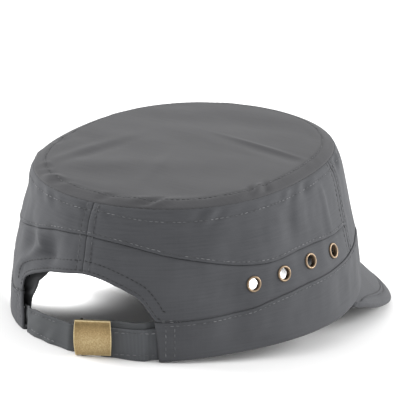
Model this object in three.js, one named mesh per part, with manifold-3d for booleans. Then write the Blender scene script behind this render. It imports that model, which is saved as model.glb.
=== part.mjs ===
// Patrol cap: an oval crown of sewn cloth panels on a band, with a drooping peak in front and an
// arched opening with a buckled strap at the back. It lies as it does on a table: leaning back on
// the rear rim, with the peak's front edge down. Millimetres, +Z up, +Y towards the peak, +X towards
// the wearer's right. Angles go round the crown from the front, positive to the wearer's right.
import * as THREE from 'three';
import { mergeVertices } from 'three/addons/utils/BufferGeometryUtils.js';
import Module from 'manifold-3d';

const wasm = await Module();
wasm.setup();

const { Vector3 } = THREE;
const { degToRad, lerp, clamp } = THREE.MathUtils;

// Crown outline at the rim, outside the band
const rimHalfWidth = 86.8;
const rimFront = 102.7;
const rimBack = 101.2;
const rimPinch = 0.046;

// Crown outline at the top seam
const topHalfWidth = 67;
const topFront = 82.7;
const topBack = 81.9;
const topPinch = -0.033;

// Crown height and its profile: the wall leans in a little up to the knee, then more
const crownHeight = 68.6;
const topTilt = -0.022;
const topDome = 3.2;
const kneeHeightShare = 0.358;
const kneeInShare = 0.179;
const shoulderShare = 0.293;
const wallHollow = 0.066;

// Cloth
const clothThickness = 1.5;
const bandThickness = 2;
const sweatThickness = 1.2;
const seamGap = 0.3;

// Band, sweatband and the arched rear opening. Heights are from the rim's level, and the band's
// lower edge overhangs it a little.
const bandHeight = 24.6;
const bandOverhang = 0.5;
const sweatHeight = 27;
const sweatRise = 1.4;
const sweatEndAngle = 150;
const sweatTailHem = 3.5;
const sweatTailTurn = 12;
const archHalfAngle = 23.5;
const archLeftHalfAngle = 27.6;
const archHeight = 38.2;
const bandLeftEndLow = 23.6;
const bandLeftEndHigh = 27.8;
const bandRightEndHigh = 22.2;

// Front side seams, leaning back towards the rim
const frontSeamHighAngle = 67.5;
const frontSeamLowAngle = 74.3;

// Strap and buckle at the back
const strapWidth = 15.3;
const strapThickness = 1.3;
const strapHiddenAngle = 5;
const strapEaseLength = 5;
const tailRise = 2.9;
const strapBulge = 0.2;
const strapTurnOut = 0.2;
const strapBulgeReach = 14;
const buckleWidth = 16.7;
const buckleHeight = 17.6;
const buckleSheet = 0.9;
const buckleDepth = 1.6;
const buckleCorner = 0.8;
const buckleBow = 1;
const buckleBarrel = 0.5;
const buckleCentreAngle = 174.3;
const buckleYaw = 15.5;
const buckleClearance = 0.2;
const buckleProud = 1.5;
const pinRadius = 0.8;
const pinInFromEdge = 3.2;
const pinStandsOut = 0.5;

// Eyelets
const eyeletHoleRadius = 2.5;
const eyeletFlangeRadius = 4;
const eyeletMetal = 0.5;
const eyeletRoll = 0.8;

// Peak
const peakHalfAngle = 74.6;
const peakLength = 53.1;
const peakDroop = 41.3;
const peakSideDroop = 8.9;
const peakFan = 0.41;
const peakRoundness = 1.48;
const peakThickness = 2.8;
const peakRootDrop = 1.5;
const peakTipLength = 2.2;
const peakEdgeRound = 1.1;
const peakGrooveInset = 9.6;
const peakGrooveHalfWidth = 1;
const peakGrooveDepth = 0.5;

// How far the soft rim and the peak's edge are pressed flat where the cap rests on them
const rimFlat = 1.5;
const peakFlat = 0.5;

// Depth of a fold whose share is 1, and how near the rim and the top seam the folds die away
const foldDepth = 4;
const rimSteady = 5.7;
const topSteady = 8.6;

// Seam lines. Angles are in degrees round the crown; a height is a share of the size named beside it.
const waveSeam = [  // of crownHeight
  { angle: 60, height: 0.548 },
  { angle: 74, height: 0.551 },
  { angle: 88, height: 0.57 },
  { angle: 97, height: 0.588 },
  { angle: 106, height: 0.588 },
  { angle: 119, height: 0.572 },
  { angle: 131, height: 0.6 },
  { angle: 144, height: 0.665 },
  { angle: 155, height: 0.722 },
  { angle: 168, height: 0.79 },
  { angle: 180, height: 0.818 },
];
const bandSeam = [  // of bandHeight
  { angle: 0, height: 1 },
  { angle: 88, height: 0.995 },
  { angle: 102, height: 0.985 },
  { angle: 112, height: 0.94 },
  { angle: 120, height: 0.88 },
  { angle: 128, height: 0.8 },
  { angle: 138, height: 0.762 },
  { angle: 157, height: 0.758 },
  { angle: 180, height: 0.758 },
];
const leftBandSeam = [  // of bandHeight
  { angle: 0, height: 1 },
  { angle: 84, height: 1 },
  { angle: 102, height: 0.93 },
  { angle: 118, height: 0.74 },
  { angle: 130, height: 0.57 },
  { angle: 140, height: 0.54 },
  { angle: 146, height: 0.6 },
  { angle: 154, height: 0.695 },
  { angle: 162, height: 0.73 },
  { angle: 180, height: 0.758 },
];
const leftRimSag = [  // of bandHeight, down towards the table
  { angle: 78, drop: 0 },
  { angle: 95, drop: 0.04 },
  { angle: 115, drop: 0.11 },
  { angle: 130, drop: 0.16 },
  { angle: 140, drop: 0.15 },
  { angle: 146, drop: 0.095 },
  { angle: 151, drop: 0.06 },
  { angle: 157, drop: 0.02 },
  { angle: 166, drop: 0 },
];
const archEdge = [  // turn is a share of the arch's half angle on its side, height of archHeight
  { turn: 0, height: 1 },
  { turn: 0.14, height: 0.994 },
  { turn: 0.28, height: 0.969 },
  { turn: 0.45, height: 0.916 },
  { turn: 0.6, height: 0.856 },
  { turn: 0.77, height: 0.754 },
  { turn: 0.86, height: 0.644 },
  { turn: 0.94, height: 0.524 },
  { turn: 1, height: 0.48 },
];
const leftArchEdge = [
  { turn: 0, height: 1 },
  { turn: 0.1, height: 0.982 },
  { turn: 0.28, height: 0.942 },
  { turn: 0.45, height: 0.898 },
  { turn: 0.6, height: 0.835 },
  { turn: 0.77, height: 0.754 },
  { turn: 0.86, height: 0.7 },
  { turn: 0.94, height: 0.625 },
  { turn: 1, height: 0.49 },
];
const strapEdge = [  // turn is in degrees to the left of the centre back, height of strapWidth
  { turn: -5, height: 1 },
  { turn: 0, height: 0.97 },
  { turn: 10, height: 0.94 },
  { turn: 17, height: 0.876 },
  { turn: 25, height: 0.712 },
  { turn: 32, height: 0.62 },
];
const sweatTail = [  // height is a share of sweatHeight, turn is in degrees to the left of the centre back
  { height: 0.5, turn: 24.9 },
  { height: 0.68, turn: 23.5 },
  { height: 0.87, turn: 20.6 },
  { height: 1, turn: 19.4 },
  { height: 1.21, turn: 14.7 },
];
const eyeletPlaces = [  // right and left are angles, up a share of the way from band seam to wave seam
  { right: 126.5, left: -113, up: 0.56 },
  { right: 114.3, left: -103, up: 0.575 },
  { right: 101.5, left: -93, up: 0.57 },
  { right: 87.5, left: -83, up: 0.53 },
];

// Folds and dents in the crown wall. Height, long and wide are shares of crownHeight, turn leans the
// fold over in degrees from upright, and depth is a share of foldDepth, outwards when positive.
const folds = [
  { name: 'rear left hollow', angle: -153, height: 0.62, long: 0.12, wide: 0.09, turn: 20, depth: -0.5 },
  { name: 'rear left ridge', angle: -154.3, height: 0.5, long: 0.2, wide: 0.06, turn: -51, depth: 0.45 },
  { name: 'rear dimple', angle: -166.5, height: 0.66, long: 0.11, wide: 0.09, turn: 0, depth: -0.65 },
  { name: 'left shoulder hollow', angle: -134, height: 0.86, long: 0.13, wide: 0.45, turn: 0, depth: -0.4 },
  { name: 'right fold', angle: 85.5, height: 0.76, long: 0.3, wide: 0.06, turn: -4, depth: 0.22 },
  { name: 'right hollow', angle: 108, height: 0.78, long: 0.17, wide: 0.08, turn: 0, depth: -0.28 },
  { name: 'right swell', angle: 118, height: 0.77, long: 0.25, wide: 0.12, turn: 0, depth: 0.12 },
  { name: 'eyelet puff', angle: 93, height: 0.5, long: 0.12, wide: 0.1, turn: 40, depth: 0.2 },
  { name: 'rear right sag', angle: 137, height: 0.46, long: 0.2, wide: 0.2, turn: 60, depth: -0.22 },
  { name: 'rear right swell', angle: 150, height: 0.42, long: 0.2, wide: 0.14, turn: 45, depth: 0.2 },
  { name: 'band crease', angle: 134, height: 0.17, long: 0.16, wide: 0.09, turn: 4, depth: -0.16 },
  { name: 'band side crease', angle: 86, height: 0.2, long: 0.2, wide: 0.09, turn: 10, depth: -0.18 },
  { name: 'left side fold', angle: -88, height: 0.66, long: 0.3, wide: 0.09, turn: 8, depth: -0.3 },
  { name: 'left side swell', angle: -112, height: 0.6, long: 0.25, wide: 0.14, turn: 30, depth: 0.26 },
  { name: 'front left fold', angle: -42, height: 0.62, long: 0.3, wide: 0.1, turn: -10, depth: -0.24 },
  { name: 'front right fold', angle: 38, height: 0.66, long: 0.28, wide: 0.1, turn: 12, depth: -0.26 },
  { name: 'front swell', angle: -4, height: 0.58, long: 0.3, wide: 0.3, turn: 0, depth: 0.25 },
];

// Long soft creases in the top panel. Across and along are shares of topHalfWidth and topFront,
// long and wide of topHalfWidth, turn is in degrees from across, depth a share of foldDepth.
const topFolds = [
  { name: 'right crease', across: 0.58, along: 0.24, long: 0.5, wide: 0.1, turn: -16, depth: -0.2 },
  { name: 'left fold', across: -0.66, along: -0.26, long: 0.55, wide: 0.13, turn: 38, depth: -0.22 },
  { name: 'rear fold', across: -0.3, along: -0.5, long: 0.5, wide: 0.14, turn: 24, depth: 0.16 },
  { name: 'front fold', across: 0.1, along: 0.55, long: 0.6, wide: 0.16, turn: 8, depth: -0.15 },
];

const materials = {
  cloth: { color: 0x575b60, roughness: 0.8, metalness: 0 },
  topCloth: { color: 0x62656a, roughness: 0.8, metalness: 0 },
  strap: { color: 0x54585d, roughness: 0.85, metalness: 0 },
  sweat: { color: 0x3c3f43, roughness: 0.9, metalness: 0 },
  brass: { color: 0xa68a55, roughness: 0.45, metalness: 0.9 },
  eyelet: { color: 0x9c8460, roughness: 0.4, metalness: 0.9 },
};

const cap = new THREE.Group();

function add(name, geometry, material) {
  const mesh = new THREE.Mesh(geometry, new THREE.MeshStandardMaterial(materials[material]));
  mesh.name = name;
  cap.add(mesh);
  return mesh;
}

// A smooth curve through a table's rows, read at one key for another
function readTable(table, key, at, wanted) {
  const last = table.length - 1;
  let i = table.findIndex((row) => row[key] > at) - 1;
  if (at <= table[0][key]) return table[0][wanted];
  if (i < 0) return table[last][wanted];
  const slope = (k) => {
    const before = table[Math.max(k - 1, 0)];
    const after = table[Math.min(k + 1, last)];
    return (after[wanted] - before[wanted]) / (after[key] - before[key]);
  };
  const span = table[i + 1][key] - table[i][key];
  const t = (at - table[i][key]) / span;
  const rise = t * t * (3 - 2 * t);
  const leave = slope(i) * span * t * (1 - t) ** 2;
  const arrive = slope(i + 1) * span * t * t * (1 - t);
  return lerp(table[i][wanted], table[i + 1][wanted], rise) + leave - arrive;
}

const inDegrees = (angle) => Math.abs(angle) * 180 / Math.PI;
const waveHeight = (angle) => crownHeight * readTable(waveSeam, 'angle', inDegrees(angle), 'height');

function bandTop(angle) {
  const table = angle < 0 ? leftBandSeam : bandSeam;
  return bandHeight * readTable(table, 'angle', inDegrees(angle), 'height');
}

const eyeletAngle = (place, side) => degToRad(side < 0 ? place.left : place.right);

function eyeletHeight(angle, up) {
  return lerp(bandTop(angle), waveHeight(angle), up);
}

// An oval seen from above, a little squarer or rounder by its pinch
function oval(angle, halfWidth, front, back, pinch) {
  const across = Math.sin(angle);
  const along = Math.cos(angle);
  const length = along > 0 ? front : back;
  const round = 1 - pinch * (1 - Math.cos(4 * angle)) / 2;
  const radius = round / Math.hypot(across / halfWidth, along / length);
  return { x: radius * across, y: radius * along };
}

const rimOval = (angle) => oval(angle, rimHalfWidth, rimFront, rimBack, rimPinch);
const topOval = (angle) => oval(angle, topHalfWidth, topFront, topBack, topPinch);
const seamHeight = (y) => crownHeight + topTilt * y;

// How far the wall has drawn in from the rim's oval to the top's, at a share of its height
function drawIn(share) {
  if (share < kneeHeightShare) return kneeInShare * share / kneeHeightShare;
  const s = Math.min((share - kneeHeightShare) / (1 - kneeHeightShare), 1);
  const lean = (1 - shoulderShare) * s + shoulderShare * s ** 8 + wallHollow * 4 * s * (1 - s);
  return kneeInShare + (1 - kneeInShare) * lean;
}

// The soft rim sags to the table at the rear left, and the wall above follows it less and less
function sagAt(angle, height) {
  const turn = (angle - 2 * Math.PI * Math.round(angle / (2 * Math.PI)));
  if (turn > 0) return 0;
  const drop = bandHeight * readTable(leftRimSag, 'angle', inDegrees(turn), 'drop');
  return drop * clamp(1 - height / crownHeight, 0, 1) ** 2;
}

function smoothWall(angle, height) {
  const low = rimOval(angle);
  const high = topOval(angle);
  const inward = drawIn(height / seamHeight(high.y));
  return new Vector3(
    lerp(low.x, high.x, inward),
    lerp(low.y, high.y, inward),
    height - sagAt(angle, height),
  );
}

function wallNormal(angle, height) {
  const step = 0.5;
  const turn = step / rimHalfWidth;
  const along = smoothWall(angle + turn, height).sub(smoothWall(angle - turn, height));
  const up = smoothWall(angle, height).sub(smoothWall(angle, height - step));
  return up.cross(along).normalize();
}

// One fold: a long soft groove or ridge about its own centre line
function foldShape(across, up, fold, unit) {
  const lean = degToRad(fold.turn);
  const along = (across * Math.sin(lean) + up * Math.cos(lean)) / (fold.long * unit);
  const side = (across * Math.cos(lean) - up * Math.sin(lean)) / (fold.wide * unit);
  return fold.depth * foldDepth * Math.exp(-along * along - side * side);
}

function wallFolds(angle, height) {
  let depth = 0;
  for (const fold of folds) {
    let turn = angle - degToRad(fold.angle);
    turn -= 2 * Math.PI * Math.round(turn / (2 * Math.PI));
    const up = height - fold.height * crownHeight;
    depth += foldShape(turn * rimHalfWidth, up, fold, crownHeight);
  }
  // No fold moves the rim or the top seam, and the cloth is flat round each eyelet
  const aboveRim = clamp(height / rimSteady, 0, 1);
  const belowTop = clamp((crownHeight - height) / topSteady, 0, 1);
  for (const place of eyeletPlaces) {
    const at = eyeletAngle(place, angle);
    const across = (angle - at) * rimHalfWidth;
    const up = height - eyeletHeight(at, place.up);
    const away = Math.hypot(across, up) / (2 * eyeletFlangeRadius);
    depth *= 1 - Math.exp(-(away ** 4));
  }
  return depth * aboveRim * belowTop;
}

// The crown wall with its folds, moved in from its outer face by an inset
function wall(angle, height, inset) {
  const out = wallFolds(angle, height) - inset;
  return smoothWall(angle, height).addScaledVector(wallNormal(angle, height), out);
}

// The peak's top face, and its outer edge, at a share across from -1 to 1
function peakFace(across, out, depth) {
  const angle = degToRad(peakHalfAngle) * across;
  const root = rimOval(angle);
  const length = Math.max(
    peakLength * (1 - Math.abs(across) ** peakRoundness) ** (1 / peakRoundness),
    peakTipLength,
  );
  const droop = degToRad(peakDroop + peakSideDroop * across * across);
  const heading = peakFan * angle;
  const inward = bandThickness / 2;
  const reach = out(length) - inward;
  const face = new Vector3(
    root.x + Math.sin(heading) * Math.cos(droop) * reach,
    root.y + Math.cos(heading) * Math.cos(droop) * reach,
    -peakRootDrop - Math.sin(droop) * reach,
  );
  const under = new Vector3(
    -Math.sin(heading) * Math.sin(droop),
    -Math.cos(heading) * Math.sin(droop),
    -Math.cos(droop),
  );
  return face.addScaledVector(under, depth);
}

// The table's plane, seen from the cap: it passes a little above the rearmost point of the rim and a
// little above the lowest point of the peak's edge
function restSlope() {
  let slope = 0;
  const steps = 40;
  for (let i = -steps; i <= steps; i += 1) {
    const edge = peakFace(i / steps, (length) => length - peakEdgeRound, peakThickness);
    slope = Math.max(slope, (rimFlat - edge.z - peakFlat) / (edge.y + rimBack));
  }
  return slope;
}

const slope = restSlope();
const tableHeight = (y) => rimFlat - slope * (y + rimBack);

// Turns a geometry into one closed body with shared vertices and its faces out
function closed(geometry) {
  geometry.deleteAttribute('normal');
  geometry.deleteAttribute('uv');
  const merged = mergeVertices(geometry, 1e-4);
  const position = merged.getAttribute('position');
  const corner = [new Vector3(), new Vector3(), new Vector3()];
  const kept = [];
  let volume = 0;
  for (let i = 0; i < merged.index.count; i += 3) {
    const face = [0, 1, 2].map((k) => merged.index.getX(i + k));
    if (new Set(face).size < 3) continue;
    face.forEach((k, n) => corner[n].fromBufferAttribute(position, k));
    volume += corner[0].dot(corner[1].clone().cross(corner[2]));
    kept.push(...face);
  }
  if (volume < 0) kept.reverse();
  merged.setIndex(kept);
  return merged;
}

// A slab of cloth: a divided box whose every point is put in its place. Across goes from the
// wearer's right to the left, up from the lower edge to the upper, and inset into the cloth.
function slab(columns, rows, layers, thickness, place) {
  const box = new THREE.BoxGeometry(1, 1, 1, columns, rows, layers);
  const position = box.getAttribute('position');
  for (let i = 0; i < position.count; i += 1) {
    const across = position.getX(i) + 0.5;
    const up = position.getY(i) + 0.5;
    const inset = (0.5 - position.getZ(i)) * thickness;
    const point = place(across, up, inset);
    point.z = Math.max(point.z, tableHeight(point.y));
    position.setXYZ(i, point.x, point.y, point.z);
  }
  return closed(box);
}

// A slab on the crown wall between two side lines and two edge lines
function wallPanel(columns, rows, panel) {
  const thickness = panel.thickness ?? clothThickness;
  const sunk = panel.sunk ?? 0;
  return slab(columns, rows, 1, thickness, (across, up, inset) => {
    let height = crownHeight * 0.5;
    let angle = 0;
    for (let pass = 0; pass < 3; pass += 1) {
      angle = lerp(panel.from(height), panel.to(height), across);
      height = lerp(panel.bottom(angle), panel.top(angle), up);
    }
    return wall(angle, height, inset + sunk);
  });
}

// A seam's gap as a turn round the crown, half of it each side of the seam line
const halfGapTurn = seamGap / 2 / topHalfWidth;

const archHalf = (angle) => (angle < 0 ? archLeftHalfAngle : archHalfAngle);

function archHeightAt(angle) {
  const turn = (180 - inDegrees(angle)) / archHalf(angle);
  return archHeight * readTable(angle < 0 ? leftArchEdge : archEdge, 'turn', turn, 'height');
}

function lowerPanelBottom(angle) {
  const overBand = bandTop(angle) + seamGap / 2;
  if (180 - inDegrees(angle) > archHalf(angle)) return overBand;
  return Math.max(overBand, archHeightAt(angle));
}

function frontSeam(height) {
  const share = (height - bandHeight) / (crownHeight - bandHeight);
  return degToRad(lerp(frontSeamLowAngle, frontSeamHighAngle, clamp(share, 0, 1)));
}

function wallTop(angle) {
  return seamHeight(topOval(angle).y) - clothThickness - seamGap;
}

const centreBack = Math.PI - halfGapTurn;
const bandEnd = Math.PI - degToRad(archHalfAngle);

// The band's ends lean: the left one by its low and high ends, the right one from the arch's foot
function bandRightEnd(height) {
  const share = clamp(height / bandTop(bandEnd), 0, 1);
  return Math.PI - degToRad(lerp(archHalfAngle, bandRightEndHigh, share));
}

function bandLeftEnd(height) {
  const share = clamp(height / bandTop(-bandEnd), 0, 1);
  return -Math.PI + degToRad(lerp(bandLeftEndLow, bandLeftEndHigh, share));
}

add('front_panel', wallPanel(30, 6, {
  from: (height) => frontSeam(height) - halfGapTurn,
  to: (height) => -frontSeam(height) + halfGapTurn,
  bottom: (angle) => bandTop(angle) + seamGap / 2,
  top: wallTop,
}), 'cloth');

// Eyelet: a rolled tube with a flange on each face of the cloth, turned about its own axis
function eyeletGeometry() {
  const tube = eyeletHoleRadius;
  const rim = eyeletFlangeRadius;
  const face = seamGap;
  const back = -clothThickness - seamGap;
  const inner = (face + back) / 2;
  const profile = [
    [tube, inner],
    [tube, face],
    [tube + eyeletRoll, face + eyeletRoll],
    [rim - eyeletMetal / 2, face + eyeletRoll * 0.8],
    [rim, face],
    [tube + eyeletMetal, face],
    [tube + eyeletMetal, back],
    [rim, back],
    [rim - eyeletMetal, back - eyeletMetal],
    [tube, back - eyeletMetal],
    [tube, inner],
  ].map(([radius, height]) => new THREE.Vector2(radius, height));
  return closed(new THREE.LatheGeometry(profile, 12));
}

function solidOf(geometry, matrix) {
  const plain = closed(geometry.clone());
  if (matrix) plain.applyMatrix4(matrix);
  return new wasm.Manifold(new wasm.Mesh({
    numProp: 3,
    vertProperties: new Float32Array(plain.getAttribute('position').array),
    triVerts: new Uint32Array(plain.index.array),
  }));
}

function geometryOf(solid) {
  const mesh = solid.getMesh();
  const geometry = new THREE.BufferGeometry();
  geometry.setAttribute('position', new THREE.BufferAttribute(mesh.vertProperties, 3));
  geometry.setIndex(new THREE.BufferAttribute(mesh.triVerts, 1));
  return geometry;
}

// Where an axis through the cloth stands: its origin on the outer face, its Y along the normal
function axisThroughWall(angle, height) {
  const normal = wallNormal(angle, height);
  const turn = new THREE.Quaternion().setFromUnitVectors(new Vector3(0, 1, 0), normal);
  return new THREE.Matrix4().compose(wall(angle, height, 0), turn, new Vector3(1, 1, 1));
}

for (const side of [{ name: 'right', sign: 1 }, { name: 'left', sign: -1 }]) {
  const seam = (height) => side.sign * (frontSeam(height) + halfGapTurn);
  const rear = () => side.sign * centreBack;
  const span = side.sign > 0 ? { from: rear, to: seam } : { from: seam, to: rear };

  add(`side_upper_${side.name}`, wallPanel(26, 4, {
    ...span,
    bottom: (angle) => waveHeight(angle) + seamGap / 2,
    top: wallTop,
  }), 'cloth');

  let lower = solidOf(wallPanel(30, 4, {
    ...span,
    bottom: lowerPanelBottom,
    top: (angle) => waveHeight(angle) - seamGap / 2,
  }));
  eyeletPlaces.forEach((place, i) => {
    const angle = eyeletAngle(place, side.sign);
    const axis = axisThroughWall(angle, eyeletHeight(angle, place.up));
    const holeRadius = eyeletHoleRadius + eyeletMetal + seamGap;
    const drill = new THREE.CylinderGeometry(holeRadius, holeRadius, 4 * clothThickness, 12);
    lower = lower.subtract(solidOf(drill, axis));
    const eyelet = add(`eyelet_${side.name}_${i + 1}`, eyeletGeometry(), 'eyelet');
    axis.decompose(eyelet.position, eyelet.quaternion, eyelet.scale);
  });
  add(`side_lower_${side.name}`, geometryOf(lower), 'cloth');
}

add('band', wallPanel(72, 3, {
  from: bandRightEnd,
  to: bandLeftEnd,
  bottom: () => -bandOverhang,
  top: (angle) => bandTop(angle) - seamGap / 2,
  thickness: bandThickness,
}), 'cloth');

const strapTop = (turn) => strapWidth * readTable(strapEdge, 'turn', turn, 'height');

// The sweatband's left end stands in the arch above the strap, and reaches up inside the arch's edge
function sweatLeftEnd(height) {
  return -Math.PI + degToRad(readTable(sweatTail, 'height', height / sweatHeight, 'turn'));
}

function sweatLow(angle) {
  const turn = 180 - inDegrees(angle);
  if (angle > 0) return sweatRise;
  const clearTurn = bandLeftEndLow + strapHiddenAngle;
  const rise = 1 - THREE.MathUtils.smoothstep(turn, clearTurn + 6, clearTurn + 6 + sweatTailTurn);
  return lerp(sweatRise, strapTop(turn) + seamGap, rise);
}

function sweatHigh(angle) {
  const inArch = angle < 0 && 180 - inDegrees(angle) < archLeftHalfAngle;
  return inArch ? Math.max(sweatHeight, archHeightAt(angle) + sweatTailHem) : sweatHeight;
}

add('sweatband', wallPanel(60, 3, {
  from: () => degToRad(sweatEndAngle),
  to: sweatLeftEnd,
  bottom: sweatLow,
  top: sweatHigh,
  thickness: sweatThickness,
  sunk: bandThickness + seamGap,
}), 'sweat');

// The top panel: a shallow domed disc whose edge lies over the wall's upper edge
function topGeometry() {
  const rings = 7;
  const sectors = 44;
  const crowding = 1.3;  // rings lie closer together towards the edge
  const ring = (i, side) => new THREE.Vector2(1 - (1 - i / rings) ** crowding, side);
  const profile = [];
  for (let i = 0; i <= rings; i += 1) profile.push(ring(i, 0));
  for (let i = rings; i >= 0; i -= 1) profile.push(ring(i, 1));
  const disc = new THREE.LatheGeometry(profile, sectors);
  const position = disc.getAttribute('position');
  for (let i = 0; i < position.count; i += 1) {
    const radius = Math.hypot(position.getX(i), position.getZ(i));
    const edge = topOval(Math.atan2(position.getX(i), position.getZ(i)));
    const x = edge.x * radius;
    const y = edge.y * radius;
    let lift = topDome * (1 - radius ** 2);
    for (const fold of topFolds) {
      const across = x - fold.across * topHalfWidth;
      const along = y - fold.along * topFront;
      const fade = Math.min(1, (1 - radius) * topHalfWidth / (2 * topSteady));
      lift += fade * foldShape(along, across, fold, topHalfWidth);
    }
    const layer = position.getY(i) * clothThickness;
    position.setXYZ(i, x, y, seamHeight(y) + lift - layer);
  }
  return closed(disc);
}

add('top_panel', topGeometry(), 'topCloth');

// The peak: root under the band, a stitched groove near its edge, and a rounded outer edge
function peakGeometry() {
  const stations = [
    () => 0,
    (groove) => 0.3 * groove,
    (groove) => 0.65 * groove,
    (groove) => groove - peakGrooveHalfWidth,
    (groove) => groove,
    (groove) => groove + peakGrooveHalfWidth,
    (groove) => groove + peakGrooveInset / 2,
    (groove) => groove + peakGrooveInset,
  ];
  const grooveRow = 4;
  const rows = stations.length - 1;
  return slab(34, rows, 2, peakThickness, (across, up, inset) => {
    const row = Math.round((1 - up) * rows);
    const onEdge = row === rows && Math.abs(inset - peakThickness / 2) > 0.1;
    const out = (length) => {
      // Near its ends the peak is too short for the groove, and its rows are evenly spaced
      const even = (row / rows) * length;
      const room = clamp(length / peakGrooveInset / 2 - 0.4, 0, 1);
      const reach = lerp(even, stations[row](length - peakGrooveInset), room);
      return Math.max(reach - (onEdge ? peakEdgeRound : 0), 0);
    };
    const groove = row === grooveRow && inset === 0 ? peakGrooveDepth : 0;
    return peakFace(1 - 2 * across, out, inset + groove);
  });
}

add('peak', peakGeometry(), 'cloth');

const buckleTurn = degToRad(buckleCentreAngle);
const buckleHalfTurn = buckleWidth / 2 / rimBack;

// The straps bulge out to the left of the buckle, where its plate is turned away from the wall
function strapOut(angle) {
  const along = (angle - buckleTurn) * rimBack;
  return (strapBulge + strapTurnOut * along) * Math.exp(-((along / strapBulgeReach) ** 4));
}

// Straps. Each is a slab of strap width whose inset from the wall changes along its way.
function strap(columns, rows, panel) {
  return slab(columns, rows, 1, strapThickness, (across, up, inset) => {
    const angle = lerp(panel.from, panel.to, across);
    const height = lerp(panel.low(angle), panel.high(angle), up);
    return wall(angle, height, inset + panel.inset(angle) - strapOut(angle));
  });
}

const buckleOut = buckleProud + buckleSheet + buckleWidth / 2 * Math.sin(degToRad(buckleYaw));
const buckleLow = tableHeight(-rimBack - buckleOut) + buckleClearance;
const behindBand = bandThickness + seamGap;
const behindShort = strapThickness + seamGap;
const easeTurn = strapEaseLength / rimBack;

function ease(angle, at) {
  return THREE.MathUtils.smoothstep(angle, at - easeTurn / 2, at + easeTurn / 2);
}

// Past the buckle the long strap's tail stands higher than the short strap in front of it
function tailLift(angle) {
  const rise = THREE.MathUtils.smoothstep(buckleTurn - angle, 0, buckleHalfTurn);
  return tailRise * rise;
}

function longStrapHigh(angle) {
  return strapTop(inDegrees(angle) - 180) + tailLift(angle);
}

const shortEnd = buckleTurn - buckleHalfTurn / 3;
const clearOfBand = 0.6 * easeTurn;
const rightBandEdge = Math.PI - degToRad(Math.min(archHalfAngle, bandRightEndHigh));
add('strap_short', strap(12, 2, {
  from: shortEnd,
  to: bandEnd - degToRad(strapHiddenAngle),
  low: () => 0,
  high: () => strapWidth,
  inset: (angle) => behindBand * (1 - ease(angle, rightBandEdge + clearOfBand)),
}), 'strap');

const leftBandEdge = Math.PI + degToRad(bandLeftEndLow);
const longStart = leftBandEdge + degToRad(strapHiddenAngle);
add('strap_long', strap(30, 2, {
  from: longStart,
  to: bandEnd - degToRad(strapHiddenAngle),
  low: tailLift,
  high: longStrapHigh,
  inset: (angle) => {
    const leftEnd = behindBand * ease(angle, leftBandEdge - clearOfBand);
    const behindPin = behindShort * (1 - ease(angle, buckleTurn + buckleHalfTurn + clearOfBand));
    const rightEnd = behindBand * (1 - ease(angle, rightBandEdge + clearOfBand));
    return leftEnd + behindPin + rightEnd;
  },
}), 'strap');

// The buckle: a bowed face whose upper and lower edges turn back round the strap, its sides
// barrelled a little, and a pin that goes through both turned edges. Its own X goes outwards, Y up
// and Z along the strap.
function buckleGeometry() {
  const outer = buckleProud + buckleSheet;
  const inner = outer - buckleDepth;
  const section = new THREE.Shape();
  section.moveTo(inner, 0);
  section.lineTo(outer - buckleCorner, 0);
  section.quadraticCurveTo(outer, 0, outer, buckleCorner);
  section.quadraticCurveTo(
    outer + 2 * buckleBow, buckleHeight / 2,
    outer, buckleHeight - buckleCorner,
  );
  section.quadraticCurveTo(outer, buckleHeight, outer - buckleCorner, buckleHeight);
  section.lineTo(inner, buckleHeight);
  section.lineTo(inner, buckleHeight - buckleSheet);
  section.lineTo(buckleProud, buckleHeight - buckleSheet);
  section.quadraticCurveTo(
    buckleProud + 2 * buckleBow, buckleHeight / 2,
    buckleProud, buckleSheet,
  );
  section.lineTo(inner, buckleSheet);
  section.closePath();
  const face = new THREE.ExtrudeGeometry(section, {
    depth: buckleWidth, steps: 1, bevelEnabled: false, curveSegments: 4,
  });
  face.translate(0, 0, -buckleWidth / 2);
  const position = face.getAttribute('position');
  for (let i = 0; i < position.count; i += 1) {
    const side = 2 * position.getZ(i) / buckleWidth;
    const barrel = buckleBarrel * Math.sin(Math.PI * position.getY(i) / buckleHeight);
    position.setZ(i, position.getZ(i) + side * barrel);
  }
  return closed(face);
}

// The buckle stands upright on the crown's rim, its X turned by its yaw from the outward normal
function buckleAxes() {
  const outward = smoothWall(buckleTurn, 0).setZ(0);
  const up = new Vector3(0, 0, 1);
  const normal = wallNormal(buckleTurn, strapWidth / 2).setZ(0).normalize();
  normal.applyAxisAngle(up, degToRad(buckleYaw));
  const along = normal.clone().cross(up);
  const foot = outward.setZ(buckleLow);
  return new THREE.Matrix4().makeBasis(normal, up, along).setPosition(foot);
}

const buckleFrame = buckleAxes();
const pinLength = buckleHeight + 2 * pinStandsOut;
const pinPlace = new Vector3(
  buckleProud - pinRadius - seamGap / 2,
  buckleHeight / 2,
  buckleWidth / 2 - pinInFromEdge,
);

function pinGeometry(radius, length) {
  const pin = new THREE.CylinderGeometry(radius, radius, length, 12);
  return pin.translate(pinPlace.x, pinPlace.y, pinPlace.z);
}

const pinBore = solidOf(pinGeometry(pinRadius + seamGap, pinLength + 2));
const buckle = add('buckle_plate', geometryOf(solidOf(buckleGeometry()).subtract(pinBore)), 'brass');
buckleFrame.decompose(buckle.position, buckle.quaternion, buckle.scale);
const pin = add('buckle_pin', closed(pinGeometry(pinRadius, pinLength)), 'brass');
buckleFrame.decompose(pin.position, pin.quaternion, pin.scale);

// Lean the cap back until it lies on the table, and put the origin under the middle of its box
const lying = new THREE.Group();
lying.add(cap);
cap.rotation.x = Math.atan(slope);
lying.updateMatrixWorld(true);
const box = new THREE.Box3().setFromObject(lying, true);
const centre = box.getCenter(new Vector3());
cap.position.set(-centre.x, -centre.y, -box.min.z);

export default lying;
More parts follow.
